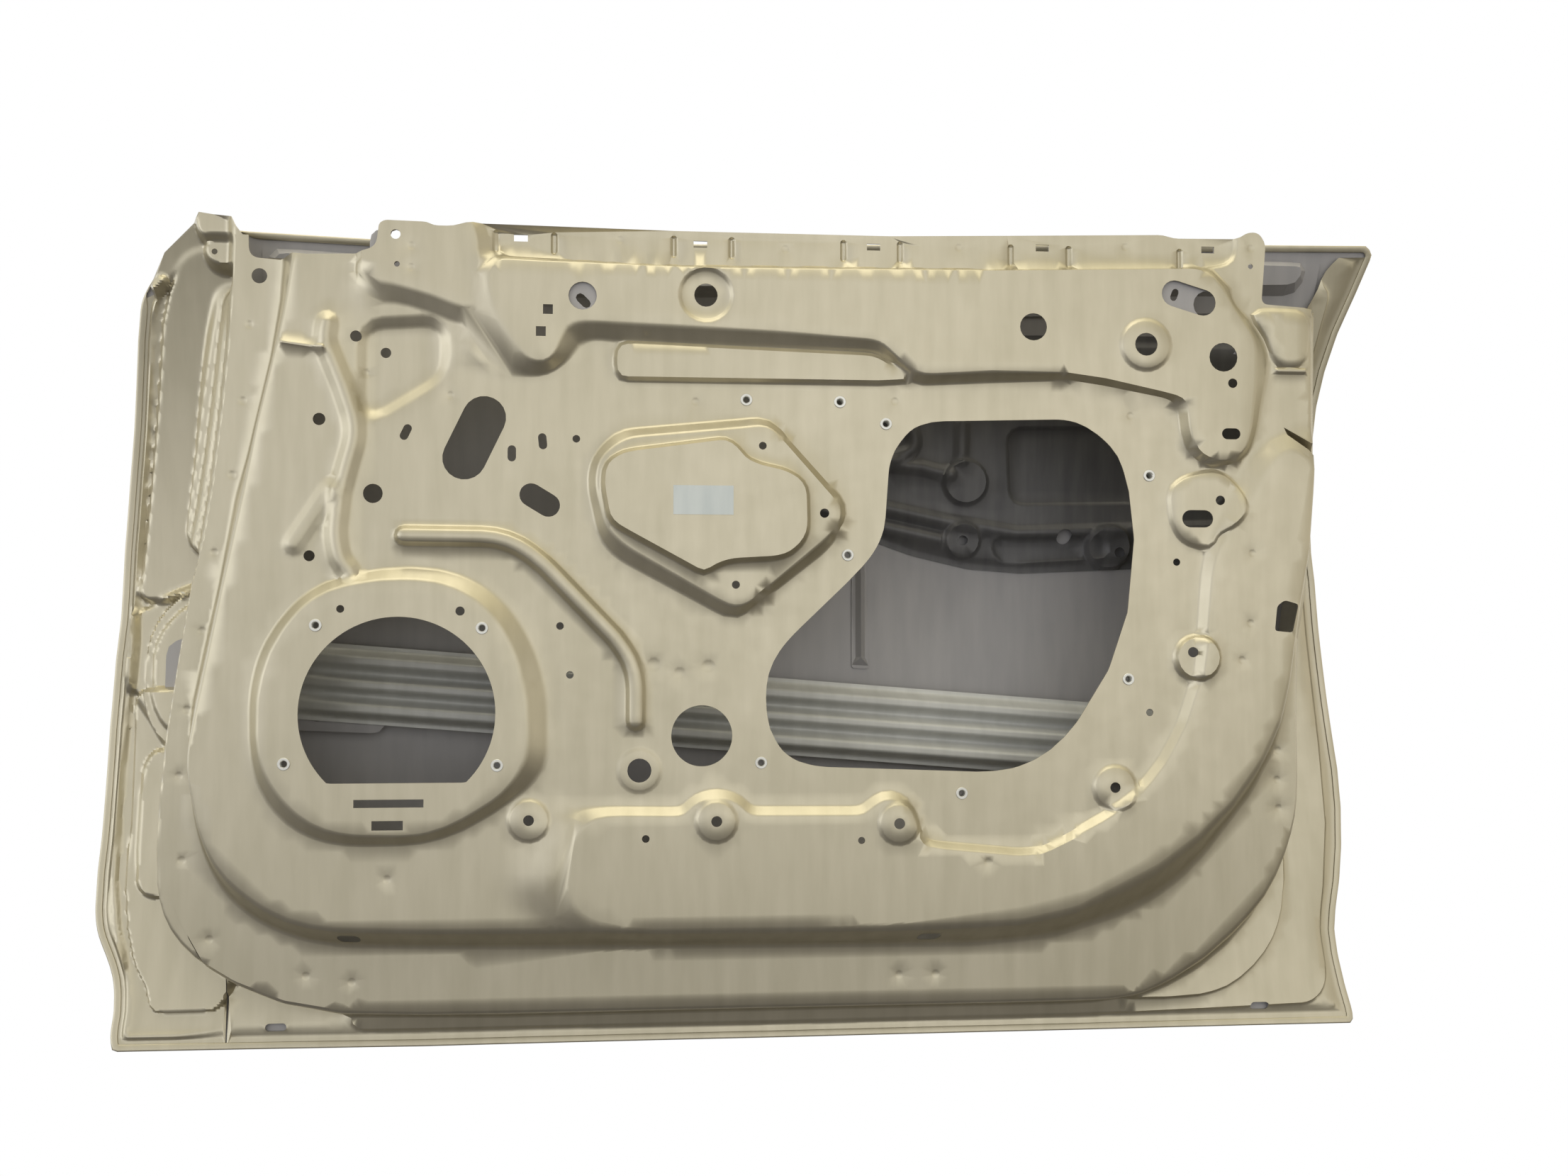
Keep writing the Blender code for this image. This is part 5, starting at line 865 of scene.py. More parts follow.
def form_height(points, features, hem):
    """Height toward the cabin of the pressed form, the hem left flat beside its fold."""
    flange = PANEL_SHEET - crown(points[:, 0], points[:, 1])
    height = flange.copy()
    for feature in features:
        kind, amount = feature[0], feature[2]
        reach = reach_of(points, feature)
        if kind == "level" or (kind == "wall" and feature[3] == 0):
            height = height + (amount - height) * reach
        elif kind == "follow":
            height = height + np.maximum(flange + amount - height, 0) * reach
        else:
            height = height + amount * reach
    height = np.maximum(height, flange + LEAST_RISE)
    near_hinge = ease(points[:, 0] / DOOR_LENGTH / EDGE_RUN_SHARE - 1)
    run = SOFT_RUN + (EDGE_RUN - SOFT_RUN) * near_hinge
    free = 1 - ease((line_distance(points, hem, False) - HEM_LIP - HEM_CLEAR) / run)
    height = flange + (height - flange) * free
    for shares, radius, depth in WELDS + DENTS:
        apart = np.linalg.norm(points - place(shares), axis=1)
        height = height - depth * np.exp(-(apart / radius) ** 4)
    return height


def spaced(line, step, closed=True):
    """A line cut into even steps along its length."""
    whole = np.concatenate((line, line[:1])) if closed else line
    apart = np.linalg.norm(np.diff(whole, axis=0), axis=1)
    run = np.concatenate(([0], np.cumsum(apart)))
    count = max(3, round(run[-1] / step))
    at = np.linspace(0, run[-1], count + 1)
    if closed:
        at = at[:-1]
    return np.stack((np.interp(at, run, whole[:, 0]), np.interp(at, run, whole[:, 1])), axis=1)


def nearest_on(points, line):
    """The place on a closed line that is nearest to each point."""
    best = np.full(len(points), np.inf)
    place_there = points.copy()
    for start, end in zip(line, np.roll(line, -1, axis=0)):
        along = end - start
        share = np.clip(((points - start) @ along) / (along @ along), 0, 1)
        foot = start + share[:, None] * along
        apart = np.linalg.norm(points - foot, axis=1)
        closer = apart < best
        best = np.where(closer, apart, best)
        place_there = np.where(closer[:, None], foot, place_there)
    return place_there


def around(line, distance):
    """A closed line at a distance all round an open line, with round ends."""
    left = offset_line(line, distance, False)
    right = offset_line(line, -distance, False)[::-1]
    turns = np.linspace(0, math.pi, END_STEPS)[1:-1]

    def end_arc(centre, first):
        spoke = first - centre
        cosine, sine = np.cos(turns)[:, None], np.sin(turns)[:, None]
        return centre + spoke * cosine + np.array((-spoke[1], spoke[0])) * sine

    return np.concatenate((left, end_arc(line[-1], left[-1]), right,
                           end_arc(line[0], right[-1])))


def fine_rows(features):
    """Rows of points along every rounded bend, each as line and closed, the last pressed first."""
    rows = []
    for shares, radius, depth in WELDS + DENTS:
        rows += [(circle(place(shares), radius * share, MARK_SIDES), True)
                 for share in MARK_ROW_SHARES]
    for feature in features[::-1]:
        kind, line = feature[0], feature[1]
        if kind == "wall":
            crest = spaced(line[0], ROW_STEP)
            foot = nearest_on(crest, line[1])
            rows += [(crest + (foot - crest) * t, True) for t in WALL_ROW_SHARES]
        elif kind == "bead":
            middle = spaced(line, ROW_STEP, False)
            rows += [(around(middle, feature[3] + feature[4] * t), True)
                     for t in LIFT_ROW_SHARES]
        else:
            ring = spaced(line, ROW_STEP)
            rows += [(grown(ring, feature[3] * t + SHEET_GAP), True) for t in LIFT_ROW_SHARES]
    return rows


def cells_along(line, closed, cell):
    """The square cells that a line passes, and the piece of the line each belongs to."""
    whole = np.concatenate((line, line[:1])) if closed else line
    apart = np.linalg.norm(np.diff(whole, axis=0), axis=1)
    count = np.maximum(1, np.ceil(apart / cell).astype(int))
    piece = np.repeat(np.arange(len(count)), count)
    step = np.arange(len(piece)) - np.repeat(np.cumsum(count) - count, count)
    t = (step / np.repeat(count, count))[:, None]
    spots = whole[piece] + (whole[piece + 1] - whole[piece]) * t
    return piece, np.floor(spots / cell).astype(int) + CELL_MARGIN


def mark_cells(taken, cells):
    """Mark cells and their neighbours as taken."""
    high = np.array(taken.shape) - 2
    near = np.clip(cells, 1, high)
    for right in (-1, 0, 1):
        for up in (-1, 0, 1):
            taken[near[:, 0] + right, near[:, 1] + up] = True


def free_cells(cell):
    """A grid of cells over the door and a margin, none of them taken yet."""
    size = np.array((DOOR_LENGTH, DOOR_HEIGHT)) * CELL_REACH / cell
    return np.zeros((size + 2 * CELL_MARGIN).astype(int), dtype=bool)


def parted_rows(rows, borders):
    """The rows less the pieces that run too close to a border or to an earlier row."""
    taken = free_cells(ROW_CLEAR)
    for line in borders:
        mark_cells(taken, cells_along(line, True, ROW_CLEAR)[1])
    kept = []
    for line, closed in rows:
        piece, cells = cells_along(line, closed, ROW_CLEAR)
        cells = np.clip(cells, 1, np.array(taken.shape) - 2)
        hit = taken[cells[:, 0], cells[:, 1]]
        count = len(line) if closed else len(line) - 1
        free = np.bincount(piece, weights=hit, minlength=count) == 0
        if free.all():
            kept.append((line, closed))
        else:
            whole = np.concatenate((line, line[:1])) if closed else line
            starts = np.nonzero(free & ~np.concatenate(((False,), free[:-1])))[0]
            ends = np.nonzero(free & ~np.concatenate((free[1:], (False,))))[0]
            kept += [(whole[start:end + 2], False) for start, end in zip(starts, ends)]
        mark_cells(taken, cells)
    return kept


def panel_holes():
    """All openings cut through the inner panel."""
    holes = [circle(place((along, up)), radius,
                    LARGE_SIDES if radius > LARGE_HOLE else HOLE_SIDES)
             for along, up, radius in ROUND_HOLES]
    holes += [slot(place(entry[0:2]), place(entry[2:4]), entry[4]) for entry in SLOT_HOLES]
    holes += [rectangle(place(entry[0:2]), entry[2], entry[3]) for entry in RECT_HOLES]
    holes += [circle(place(entry), NUT_BODY_RADIUS + NUT_CLEAR, NUT_SIDES)
              for entry in RIVET_NUT_SHARES]
    holes += [spaced(outline(SERVICE_SHARES), ROW_STEP), outline(NOTCH_SHARES),
              speaker_opening()]
    return holes


def speaker_opening():
    """A round opening with a flat foot."""
    ring = circle(place(SPEAKER_CENTRE_SHARES), SPEAKER_RADIUS, SPEAKER_SIDES)
    flat = SPEAKER_FLAT_SHARE * DOOR_HEIGHT
    return np.stack((ring[:, 0], np.maximum(ring[:, 1], flat)), axis=1)


def hem_outline():
    """The whole outer edge of the door, clockwise from the top of the hinge edge."""
    return outline(HEM_TOP_SHARES + HEM_RIGHT_SHARES + HEM_BOTTOM_SHARES + HEM_LEFT_SHARES)


def held_edge(step=None):
    """The edge the two inner pressings share with the fold, from top rear round to top front."""
    ring = offset_line(hem_outline(), HEM_CLEAR)
    if step:
        ring = spaced(ring, step)
    corner = place(HEM_RIGHT_SHARES[1])
    ring = np.roll(ring, -int(np.argmin(np.linalg.norm(ring - corner, axis=1))), axis=0)
    last = int(np.argmin(np.linalg.norm(ring - place(EDGE_TOP_SHARES), axis=1)))
    return ring[:last + 1]


def split_edge(edge):
    """The held edge parted at the seam, the rear part and the front part."""
    seam = SEAM_FOOT_SHARE * DOOR_LENGTH
    low = edge[:, 1] < DOOR_HEIGHT * FOOT_BAND_SHARE
    past = np.nonzero(low & (edge[:, 0] < seam))[0][0]
    before, after = edge[past - 1], edge[past]
    foot = before + (before[0] - seam) / (before[0] - after[0]) * (after - before)
    half = np.array((SEAM_GAP / 2, 0))
    rear = np.concatenate((edge[:past], (foot + half)[None, :]))
    front = np.concatenate(((foot - half)[None, :], edge[past:]))
    return rear, front


def edge_rows(edge):
    """Lines along which the form leaves the flat flange."""
    near = HEM_LIP + HEM_CLEAR
    return [(offset_line(edge, near + EDGE_RUN * t, False), False) for t in EDGE_ROW_SHARES]


def triangulate(ring, holes, rows, spacing):
    """Triangles over a closed line less its holes, with the rows of points kept as edges."""
    low = ring.min(axis=0)
    high = ring.max(axis=0)
    across = np.arange(low[0] + spacing / 2, high[0], spacing)
    upward = np.arange(low[1] + spacing / 2, high[1], spacing)
    grid = np.stack(np.meshgrid(across, upward), axis=-1).reshape(-1, 2)
    grid = grid[outside_distance(grid, ring) < -spacing / 4]
    rows = parted_rows(rows, [ring] + holes)
    lines = [(ring, True)] + [(hole, True) for hole in holes] + rows
    wide = min(ROW_STEP / 2, spacing / 2)
    taken = free_cells(wide)
    points = []
    edges = []
    for line, closed in lines:
        first = len(points)
        points += line.tolist()
        last = len(points) - 1
        edges += [(index, index + 1) for index in range(first, last)]
        if closed:
            edges.append((last, first))
        mark_cells(taken, cells_along(line, closed, wide)[1])
    cells = np.floor(grid / wide).astype(int) + CELL_MARGIN
    points += grid[~taken[cells[:, 0], cells[:, 1]]].tolist()
    made = delaunay_2d_cdt([Vector(point) for point in points], edges, [], 0, MERGE_DISTANCE)
    places = np.array([tuple(point) for point in made[0]])
    faces = np.array([tuple(face) for face in made[2]])
    middles = places[faces].mean(axis=1)
    keep = is_inside(middles, ring)
    for hole in holes:
        near = np.all(np.abs(middles - hole.mean(axis=0)) < np.ptp(hole, axis=0), axis=1)
        keep[near] &= ~is_inside(middles[near], hole)
    faces = faces[keep]
    used, faces = np.unique(faces, return_inverse=True)
    return places[used], faces.reshape(-1, 3)


def add_mesh(name, vertices, faces, material, stands_for=(), body="root"):
    """A smooth mesh object that rides on the part's body and stands for CAD nodes."""
    mesh = bpy.data.meshes.new(name)
    vertices = np.asarray(vertices, dtype=float) - SHIFT
    faces = [tuple(face) for face in faces]
    mesh.from_pydata(vertices.tolist(), [], faces)
    mesh.materials.append(material)
    mesh.polygons.foreach_set("use_smooth", np.ones(len(mesh.polygons), dtype=bool))
    mesh.update()
    mesh.set_sharp_from_angle(angle=SHARP_ANGLE)
    thing = bpy.data.objects.new(name, mesh)
    bpy.context.collection.objects.link(thing)
    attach(thing, body)
    if stands_for:
        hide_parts(*stands_for)
    return thing


def wind_alike(places, faces):
    """Triangles turned so that all run counter-clockwise."""
    first, second, third = (places[faces[:, index]] for index in range(3))
    turn = (second[:, 0] - first[:, 0]) * (third[:, 1] - first[:, 1])
    turn -= (second[:, 1] - first[:, 1]) * (third[:, 0] - first[:, 0])
    faces = faces.copy()
    faces[turn < 0] = faces[turn < 0][:, ::-1]
    return faces


def sheet(name, places, faces, front, thickness, material, stands_for=()):
    """A closed sheet: the surface y = front(x, z) and the same surface one thickness behind."""
    faces = wind_alike(places, faces)
    corners = np.stack((places[:, 0], front, places[:, 1]), axis=1)
    across = np.cross(corners[faces[:, 1]] - corners[faces[:, 0]],
                      corners[faces[:, 2]] - corners[faces[:, 0]])
    normal = np.zeros((len(places), 3))
    for index in range(3):
        np.add.at(normal, faces[:, index], across)
    lean = np.abs(normal[:, 1]) / np.maximum(np.linalg.norm(normal, axis=1), TINY_AREA)
    behind = corners.copy()
    behind[:, 1] += thickness / np.maximum(lean, STEEP_LIMIT)
    count = len(places)
    edges = np.concatenate((faces[:, [0, 1]], faces[:, [1, 2]], faces[:, [2, 0]]))
    seen = set(map(tuple, edges.tolist()))
    border = [edge for edge in seen if (edge[1], edge[0]) not in seen]
    sides = [(end, start, start + count, end + count) for start, end in border]
    every = faces.tolist() + sides + (faces[:, ::-1] + count).tolist()
    return add_mesh(name, np.concatenate((corners, behind)), every, material,
                    stands_for)


def build_inner_panel(features, material):
    """The main pressing: y = -form height over the outline less its openings."""
    edge = held_edge()
    rear, _ = split_edge(held_edge(ROW_STEP))
    seam = spaced(outline(SEAM_SHARES, False), ROW_STEP, False)[::-1]
    top = outline(TOP_EDGE_SHARES, False)
    ring = np.concatenate((rear, seam + np.array((SEAM_GAP / 2, 0)), top))
    rows = fine_rows(features) + edge_rows(held_edge(ROW_STEP))
    places, faces = triangulate(ring, panel_holes(), rows, PANEL_GRID)
    front = -form_height(places, features, edge)
    return sheet("inner_panel_form", places, faces, front, PANEL_SHEET, material,
                 ("inner_panel",))


def build_hinge_panel(features, material):
    """The hinge-side pressing: the same form, sunk one lap depth under the main pressing."""
    edge = held_edge()
    _, front_edge = split_edge(held_edge(ROW_STEP))
    lap = spaced(outline(SEAM_SHARES, False), ROW_STEP, False)
    under = np.clip((lap[:, 1] / DOOR_HEIGHT - LAP_START_SHARE) / LAP_RUN_SHARE, 0, 1)
    lap[:, 0] += SEAM_OVERLAP * under - SEAM_GAP / 2
    corner = np.array([place(shares) for shares in HINGE_CORNER_SHARES])
    ring = np.concatenate((front_edge, corner, lap))
    rows = edge_rows(held_edge(ROW_STEP))
    hole = circle(place(CORNER_HOLE_SHARES), CORNER_HOLE_RADIUS, HOLE_SIDES)
    places, faces = triangulate(ring, [hole], rows, HINGE_GRID)
    height = form_height(places, features, edge)
    apart = line_distance(places, edge, False)
    sunk = (1 - ease((apart - HEM_LIP) / SOFT_RUN)) * LAP_DEPTH
    return sheet("hinge_panel_form", places, faces, sunk - height, PANEL_SHEET, material,
                 ("hinge_panel",))


def build_outer_skin(material, inside):
    """The crowned sheet, its edge rolled round and folded flat over the inner pressings."""
    rim = spaced(hem_outline(), ROW_STEP)
    face_depth = SHEET_GAP + SKIN_SHEET
    lip_front = -PANEL_SHEET - SHEET_GAP - SKIN_SHEET
    middle = (face_depth + lip_front) / 2
    reach = (face_depth - lip_front) / 2
    turns = np.linspace(math.pi / 2, -math.pi / 2, FOLD_STEPS + 1)
    outer_line = offset_line(rim, reach)
    outer_places, outer_faces = triangulate(outer_line, [], [], SKIN_GRID)
    inner_line = offset_line(rim, SKIN_SHEET)
    inner_places, inner_faces = triangulate(inner_line, [], [], SKIN_GRID)
    outer_faces = wind_alike(outer_places, outer_faces)
    inner_faces = wind_alike(inner_places, inner_faces)
    vertices = []
    faces = []

    def add_row(line, depth):
        first = len(vertices)
        outward = crown(line[:, 0], line[:, 1]) + depth
        vertices.extend(np.stack((line[:, 0], outward, line[:, 1]), axis=1))
        return list(range(first, len(vertices)))

    def on_row(line, places, first):
        apart = [int(np.argmin(np.sum((places - point) ** 2, axis=1))) for point in line]
        return [first + index for index in apart]

    first = add_row(outer_places, face_depth)[0]
    faces += [tuple(first + index for index in face[::-1]) for face in outer_faces.tolist()]
    rows = [on_row(outer_line, outer_places, first)]
    for turn in turns[1:]:
        rows.append(add_row(offset_line(rim, reach * (1 - math.cos(turn))),
                            middle + reach * math.sin(turn)))
    half = SKIN_SHEET / 2
    lip_middle = lip_front + half
    corner = np.array([place(shares) for shares in OPEN_CORNER_SHARES])
    open_share = ease(line_distance(rim, corner, False) / WIDE_RUN)
    lip = HEM_LIP + (OPEN_LIP - HEM_LIP) * open_share
    for turn in np.linspace(-math.pi / 2, math.pi / 2, LIP_STEPS):
        line = offset_line(rim, lip - half + half * math.cos(turn))
        rows.append(add_row(line, lip_middle + half * math.sin(turn)))
    rows.append(add_row(inner_line, lip_front + SKIN_SHEET))
    first = add_row(inner_places, SHEET_GAP)[0]
    inner_start = len(faces)
    faces += [tuple(first + index for index in face) for face in inner_faces.tolist()]
    rows.append(on_row(inner_line, inner_places, first))
    count = len(rim)
    for near, far in zip(rows[:-1], rows[1:]):
        for index in range(count):
            after = (index + 1) % count
            faces.append((near[index], far[index], far[after], near[after]))
    skin = add_mesh("outer_skin_form", vertices, faces, material,
                    ("outer_skin",))
    skin.data.materials.append(inside)
    kinds = np.zeros(len(skin.data.polygons), dtype=np.int32)
    kinds[inner_start:inner_start + len(inner_faces)] = 1
    skin.data.polygons.foreach_set("material_index", kinds)
    return skin


def build_stiffener(material):
    """The ribbed sheet on the skin behind the service opening."""
    ring = spaced(outline(HANDLE_STIFFENER_SHARES), ROW_STEP)
    raised = grown(outline(HANDLE_STIFFENER_SHARES), -WALL_RUN - STEEP_RUN)
    shapes = [("lift", raised, STIFFENER_BASE_RISE, WALL_RUN)]
    shapes += [("bead", outline(line, False), STIFFENER_RIDGE_RISE, GROOVE_TOP_HALF, WALL_RUN)
               for line in STIFFENER_RIDGES]
    shapes += [("lift", outline(STIFFENER_POCKET_SHARES), STIFFENER_POCKET_RISE, STEEP_RUN),
               ("lift", outline(STIFFENER_LOW_POCKET_SHARES), STIFFENER_POCKET_RISE, STEEP_RUN)]
    shapes += [("lift", circle(place(boss[0:2]), boss[2], NUT_SIDES), boss[3], STEEP_RUN)
               for boss in STIFFENER_BOSSES]
    holes = [circle(place(hole[0:2]), hole[2], HOLE_SIDES) for hole in STIFFENER_HOLES]
    places, faces = triangulate(ring, holes, fine_rows(shapes), PANEL_GRID)
    height = np.zeros(len(places))
    for shape in shapes:
        height = height + shape[2] * reach_of(places, shape)
    front = crown(places[:, 0], places[:, 1]) - RAIL_GAP - SKIN_SHEET - height
    return sheet("handle_stiffener_form", places, faces, front, SKIN_SHEET, material,
                 ("handle_stiffener",))


def build_backing(name, shares, features, material, node):
    """A plain plate one gap behind the hinge-side pressing: y = -form height plus the gap."""
    ring = spaced(outline(shares), ROW_STEP)
    places, faces = triangulate(ring, [], [], ROW_STEP)
    depth = BACKING_GAP - form_height(places, features, held_edge())
    return sheet(name, places, faces, depth, SKIN_SHEET, material, (node,))


def build_beam(material):
    """The impact beam: a ridged profile carried along a line, its ridges fading at the ends."""
    front = place(BEAM_FRONT_SHARES)
    rear = place(BEAM_REAR_SHARES)
    along = (rear - front) / np.linalg.norm(rear - front)
    across = np.array((-along[1], along[0]))
    table = np.array(BEAM_PROFILE_SHARES)
    side = np.linspace(-1, 1, BEAM_SIDE_STEPS)
    rise = np.interp(side, table[:, 0], table[:, 1])
    pad = len(BEAM_SMOOTHING) // 2
    rise = np.convolve(np.pad(rise, pad, mode="edge"), BEAM_SMOOTHING, mode="valid")
    taper = np.array(BEAM_TAPER_SHARES)
    stations = np.linspace(0, 1, BEAM_STATIONS)
    fade = np.interp(stations, taper[:, 0], taper[:, 1])
    middle = front + np.outer(stations, rear - front)
    spots = middle[:, None, :] + (side * BEAM_HALF_WIDTH)[None, :, None] * across
    depth = BEAM_DEPTH - BEAM_RIDGE * np.outer(fade, rise)
    face = np.stack((spots[..., 0], depth, spots[..., 1]), axis=-1)
    back = face[:, ::-1] + np.array((0, BEAM_SHEET, 0))
    loops = np.concatenate((face, back), axis=1)
    rows, count = loops.shape[:2]
    index = np.arange(rows * count).reshape(rows, count)
    after = np.roll(index, -1, axis=1)
    quads = np.stack((index[:-1], index[1:], after[1:], after[:-1]), axis=-1).reshape(-1, 4)
    faces = quads.tolist() + [index[0].tolist(), index[-1][::-1].tolist()]
    return add_mesh("impact_beam_form", loops.reshape(-1, 3), faces, material,
                    ("impact_beam",))


def build_rivet_nuts(features, material):
    """Threaded inserts: a closed profile of radius and depth turned about its axis."""
    hem = held_edge()
    pitch = NUT_BODY_LENGTH / NUT_THREADS
    for number, shares in enumerate(RIVET_NUT_SHARES, 1):
        centre = place(shares)
        front = -form_height(centre[None, :], features, hem)[0]
        head = front - NUT_HEAD_HEIGHT - NUT_CLEAR
        seat = front - NUT_CLEAR
        tail = front + NUT_BODY_LENGTH
        edge = NUT_HEAD_HEIGHT * NUT_EDGE_SHARE
        profile = [(NUT_BORE_RADIUS + edge, head), (NUT_HEAD_RADIUS - edge, head),
                   (NUT_HEAD_RADIUS, head + edge), (NUT_HEAD_RADIUS, seat),
                   (NUT_BODY_RADIUS, seat), (NUT_BODY_RADIUS, tail), (NUT_BORE_RADIUS, tail)]
        for turn in range(NUT_THREADS * 2 - 1, 0, -1):
            depth = head + edge + turn * pitch / 2
            profile.append((NUT_BORE_RADIUS - (turn % 2) * NUT_THREAD_DEPTH, depth))
        profile.append((NUT_BORE_RADIUS, head + edge))
        profile = np.array(profile)
        angle = np.arange(NUT_SIDES) * 2 * math.pi / NUT_SIDES
        rings = np.stack((profile[:, :1] * np.cos(angle) + centre[0],
                          np.repeat(profile[:, 1:], NUT_SIDES, axis=1),
                          profile[:, :1] * np.sin(angle) + centre[1]), axis=-1)
        index = np.arange(len(profile) * NUT_SIDES).reshape(-1, NUT_SIDES)
        below = np.roll(index, -1, axis=0)
        quads = np.stack((index, below, np.roll(below, -1, axis=1),
                          np.roll(index, -1, axis=1)), axis=-1).reshape(-1, 4)
        add_mesh("rivet_nut_form_%02d" % number, rings.reshape(-1, 3), quads.tolist(), material,
                 ("rivet_nut_%02d" % number,))


def build_label(material):
    """A blank paper label on the raised pad, its face waved by a product of two sines."""
    low, high = place(LABEL_LOW_SHARES), place(LABEL_HIGH_SHARES)
    across = np.linspace(low[0], high[0], LABEL_STEPS[0])
    upward = np.linspace(low[1], high[1], LABEL_STEPS[1])
    x, z = np.meshgrid(across, upward)
    wave = np.sin(x * LABEL_WAVES[0]) * np.sin(z * LABEL_WAVES[1] + 1) * LABEL_LIFT / 2
    rest = -PAD_LEVEL - LABEL_LIFT - SHEET_GAP / 4
    face = np.stack((x, rest - LABEL_THICKNESS + wave, z), axis=-1).reshape(-1, 3)
    back = face + np.array((0, LABEL_THICKNESS, 0))
    count = x.size
    index = np.arange(count).reshape(x.shape)
    quads = np.stack((index[:-1, :-1], index[:-1, 1:], index[1:, 1:], index[1:, :-1]),
                     axis=-1).reshape(-1, 4)
    loop = np.concatenate((index[0], index[1:, -1], index[-1, -2::-1], index[-2:0:-1, 0]))
    after = np.roll(loop, -1)
    sides = np.stack((after, loop, loop + count, after + count), axis=-1)
    faces = quads.tolist() + (quads[:, ::-1] + count).tolist() + sides.tolist()
    return add_mesh("paper_label", np.concatenate((face, back)), faces, material)


def noise_value(nodes, links, coords, scale, detail, stretch=(1, 1, 1)):
    """A noise value between zero and one on stretched object coordinates."""
    mapping = nodes.new("ShaderNodeMapping")
    mapping.inputs["Scale"].default_value = stretch
    noise = nodes.new("ShaderNodeTexNoise")
    noise.inputs["Scale"].default_value = scale
    noise.inputs["Detail"].default_value = detail
    links.new(coords, mapping.inputs["Vector"])
    links.new(mapping.outputs["Vector"], noise.inputs["Vector"])
    return noise.outputs["Fac"]


def ramp(nodes, links, value, stops):
    """A colour ramp over a value, its stops as place and colour."""
    node = nodes.new("ShaderNodeValToRGB")
    elements = node.color_ramp.elements
    elements[0].position, elements[0].color = stops[0][0], (*stops[0][1], 1)
    elements[1].position, elements[1].color = stops[-1][0], (*stops[-1][1], 1)
    for where, colour in stops[1:-1]:
        element = elements.new(where)
        element.color = (*colour, 1)
    links.new(value, node.inputs["Fac"])
    return node.outputs["Color"]


def make_paint(name, dark, light, finish, flake_bump=FLAKE_BUMP):
    """Metallic paint: vertical mottling mixes two tints, a finer noise varies the gloss."""
    material = bpy.data.materials.new(name)
    material.use_nodes = True
    nodes, links = material.node_tree.nodes, material.node_tree.links
    shader = nodes["Principled BSDF"]
    coords = nodes.new("ShaderNodeTexCoord").outputs["Object"]
    streaks = noise_value(nodes, links, coords, *STREAKS, STREAK_STRETCH)
    clouds = noise_value(nodes, links, coords, *CLOUDS)
    blend = nodes.new("ShaderNodeMath")
    blend.operation = "MULTIPLY_ADD"
    blend.inputs[1].default_value = STREAK_SHARE
    links.new(streaks, blend.inputs[0])
    rest = nodes.new("ShaderNodeMath")
    rest.operation = "MULTIPLY"
    rest.inputs[1].default_value = CLOUD_SHARE
    links.new(clouds, rest.inputs[0])
    links.new(rest.outputs[0], blend.inputs[2])
    middle = tuple((a + b) / 2 for a, b in zip(dark, light))
    tints = tuple(zip(TINT_STOPS, (dark, middle, light)))
    colour = ramp(nodes, links, blend.outputs[0], tints)
    links.new(colour, shader.inputs["Base Color"])
    gloss = noise_value(nodes, links, coords, *GLOSS)
    metallic, roughness = finish
    levels = ((roughness - GLOSS_SPREAD,) * 3, (roughness + GLOSS_SPREAD,) * 3)
    rough = ramp(nodes, links, gloss, tuple(zip(GLOSS_STOPS, levels)))
    links.new(rough, shader.inputs["Roughness"])
    shader.inputs["Metallic"].default_value = metallic
    flake = noise_value(nodes, links, coords, *FLAKES)
    bump = nodes.new("ShaderNodeBump")
    bump.inputs["Strength"].default_value = flake_bump
    bump.inputs["Distance"].default_value = FLAKE_DEPTH
    links.new(flake, bump.inputs["Height"])
    links.new(bump.outputs["Normal"], shader.inputs["Normal"])
    return material


def make_zinc():
    """Plated steel with a faint patchy tint."""
    return make_paint("zinc plate", ZINC_DARK, ZINC_LIGHT, ZINC_FINISH)


def make_paper():
    """Blank label paper, off-white with faint stains."""
    return make_paint("label paper", PAPER_DARK, PAPER_LIGHT, PAPER_FINISH)


def build_world():
    """A studio lit unevenly: one ramp over the direction's height times one over its side."""
    world = bpy.data.worlds.new("studio")
    bpy.context.scene.world = world
    world.use_nodes = True
    nodes, links = world.node_tree.nodes, world.node_tree.links
    heading = nodes.new("ShaderNodeTexCoord").outputs["Generated"]
    halved = nodes.new("ShaderNodeVectorMath")
    halved.operation = "MULTIPLY_ADD"
    halved.inputs[1].default_value = HALF_OF_EACH
    halved.inputs[2].default_value = HALF_OF_EACH
    links.new(heading, halved.inputs[0])
    parts = nodes.new("ShaderNodeSeparateXYZ")
    links.new(halved.outputs["Vector"], parts.inputs[0])
    by_height = ramp(nodes, links, parts.outputs["Z"], STUDIO_HEIGHT_STOPS)
    by_side = ramp(nodes, links, parts.outputs["X"], STUDIO_SIDE_STOPS)
    tinted = nodes.new("ShaderNodeVectorMath")
    tinted.operation = "MULTIPLY"
    links.new(by_height, tinted.inputs[0])
    links.new(by_side, tinted.inputs[1])
    plain = nodes["Background"]
    links.new(tinted.outputs["Vector"], plain.inputs["Color"])
    plain.inputs["Strength"].default_value = STUDIO_GAIN
    white = nodes.new("ShaderNodeBackground")
    white.inputs["Color"].default_value = (1, 1, 1, 1)
    seen = nodes.new("ShaderNodeLightPath")
    either = nodes.new("ShaderNodeMath")
    either.operation = "MAXIMUM"
    links.new(seen.outputs["Is Camera Ray"], either.inputs[0])
    links.new(seen.outputs["Is Transmission Ray"], either.inputs[1])
    mix = nodes.new("ShaderNodeMixShader")
    links.new(either.outputs[0], mix.inputs["Fac"])
    links.new(plain.outputs["Background"], mix.inputs[1])
    links.new(white.outputs["Background"], mix.inputs[2])
    links.new(mix.outputs["Shader"], nodes["World Output"].inputs["Surface"])


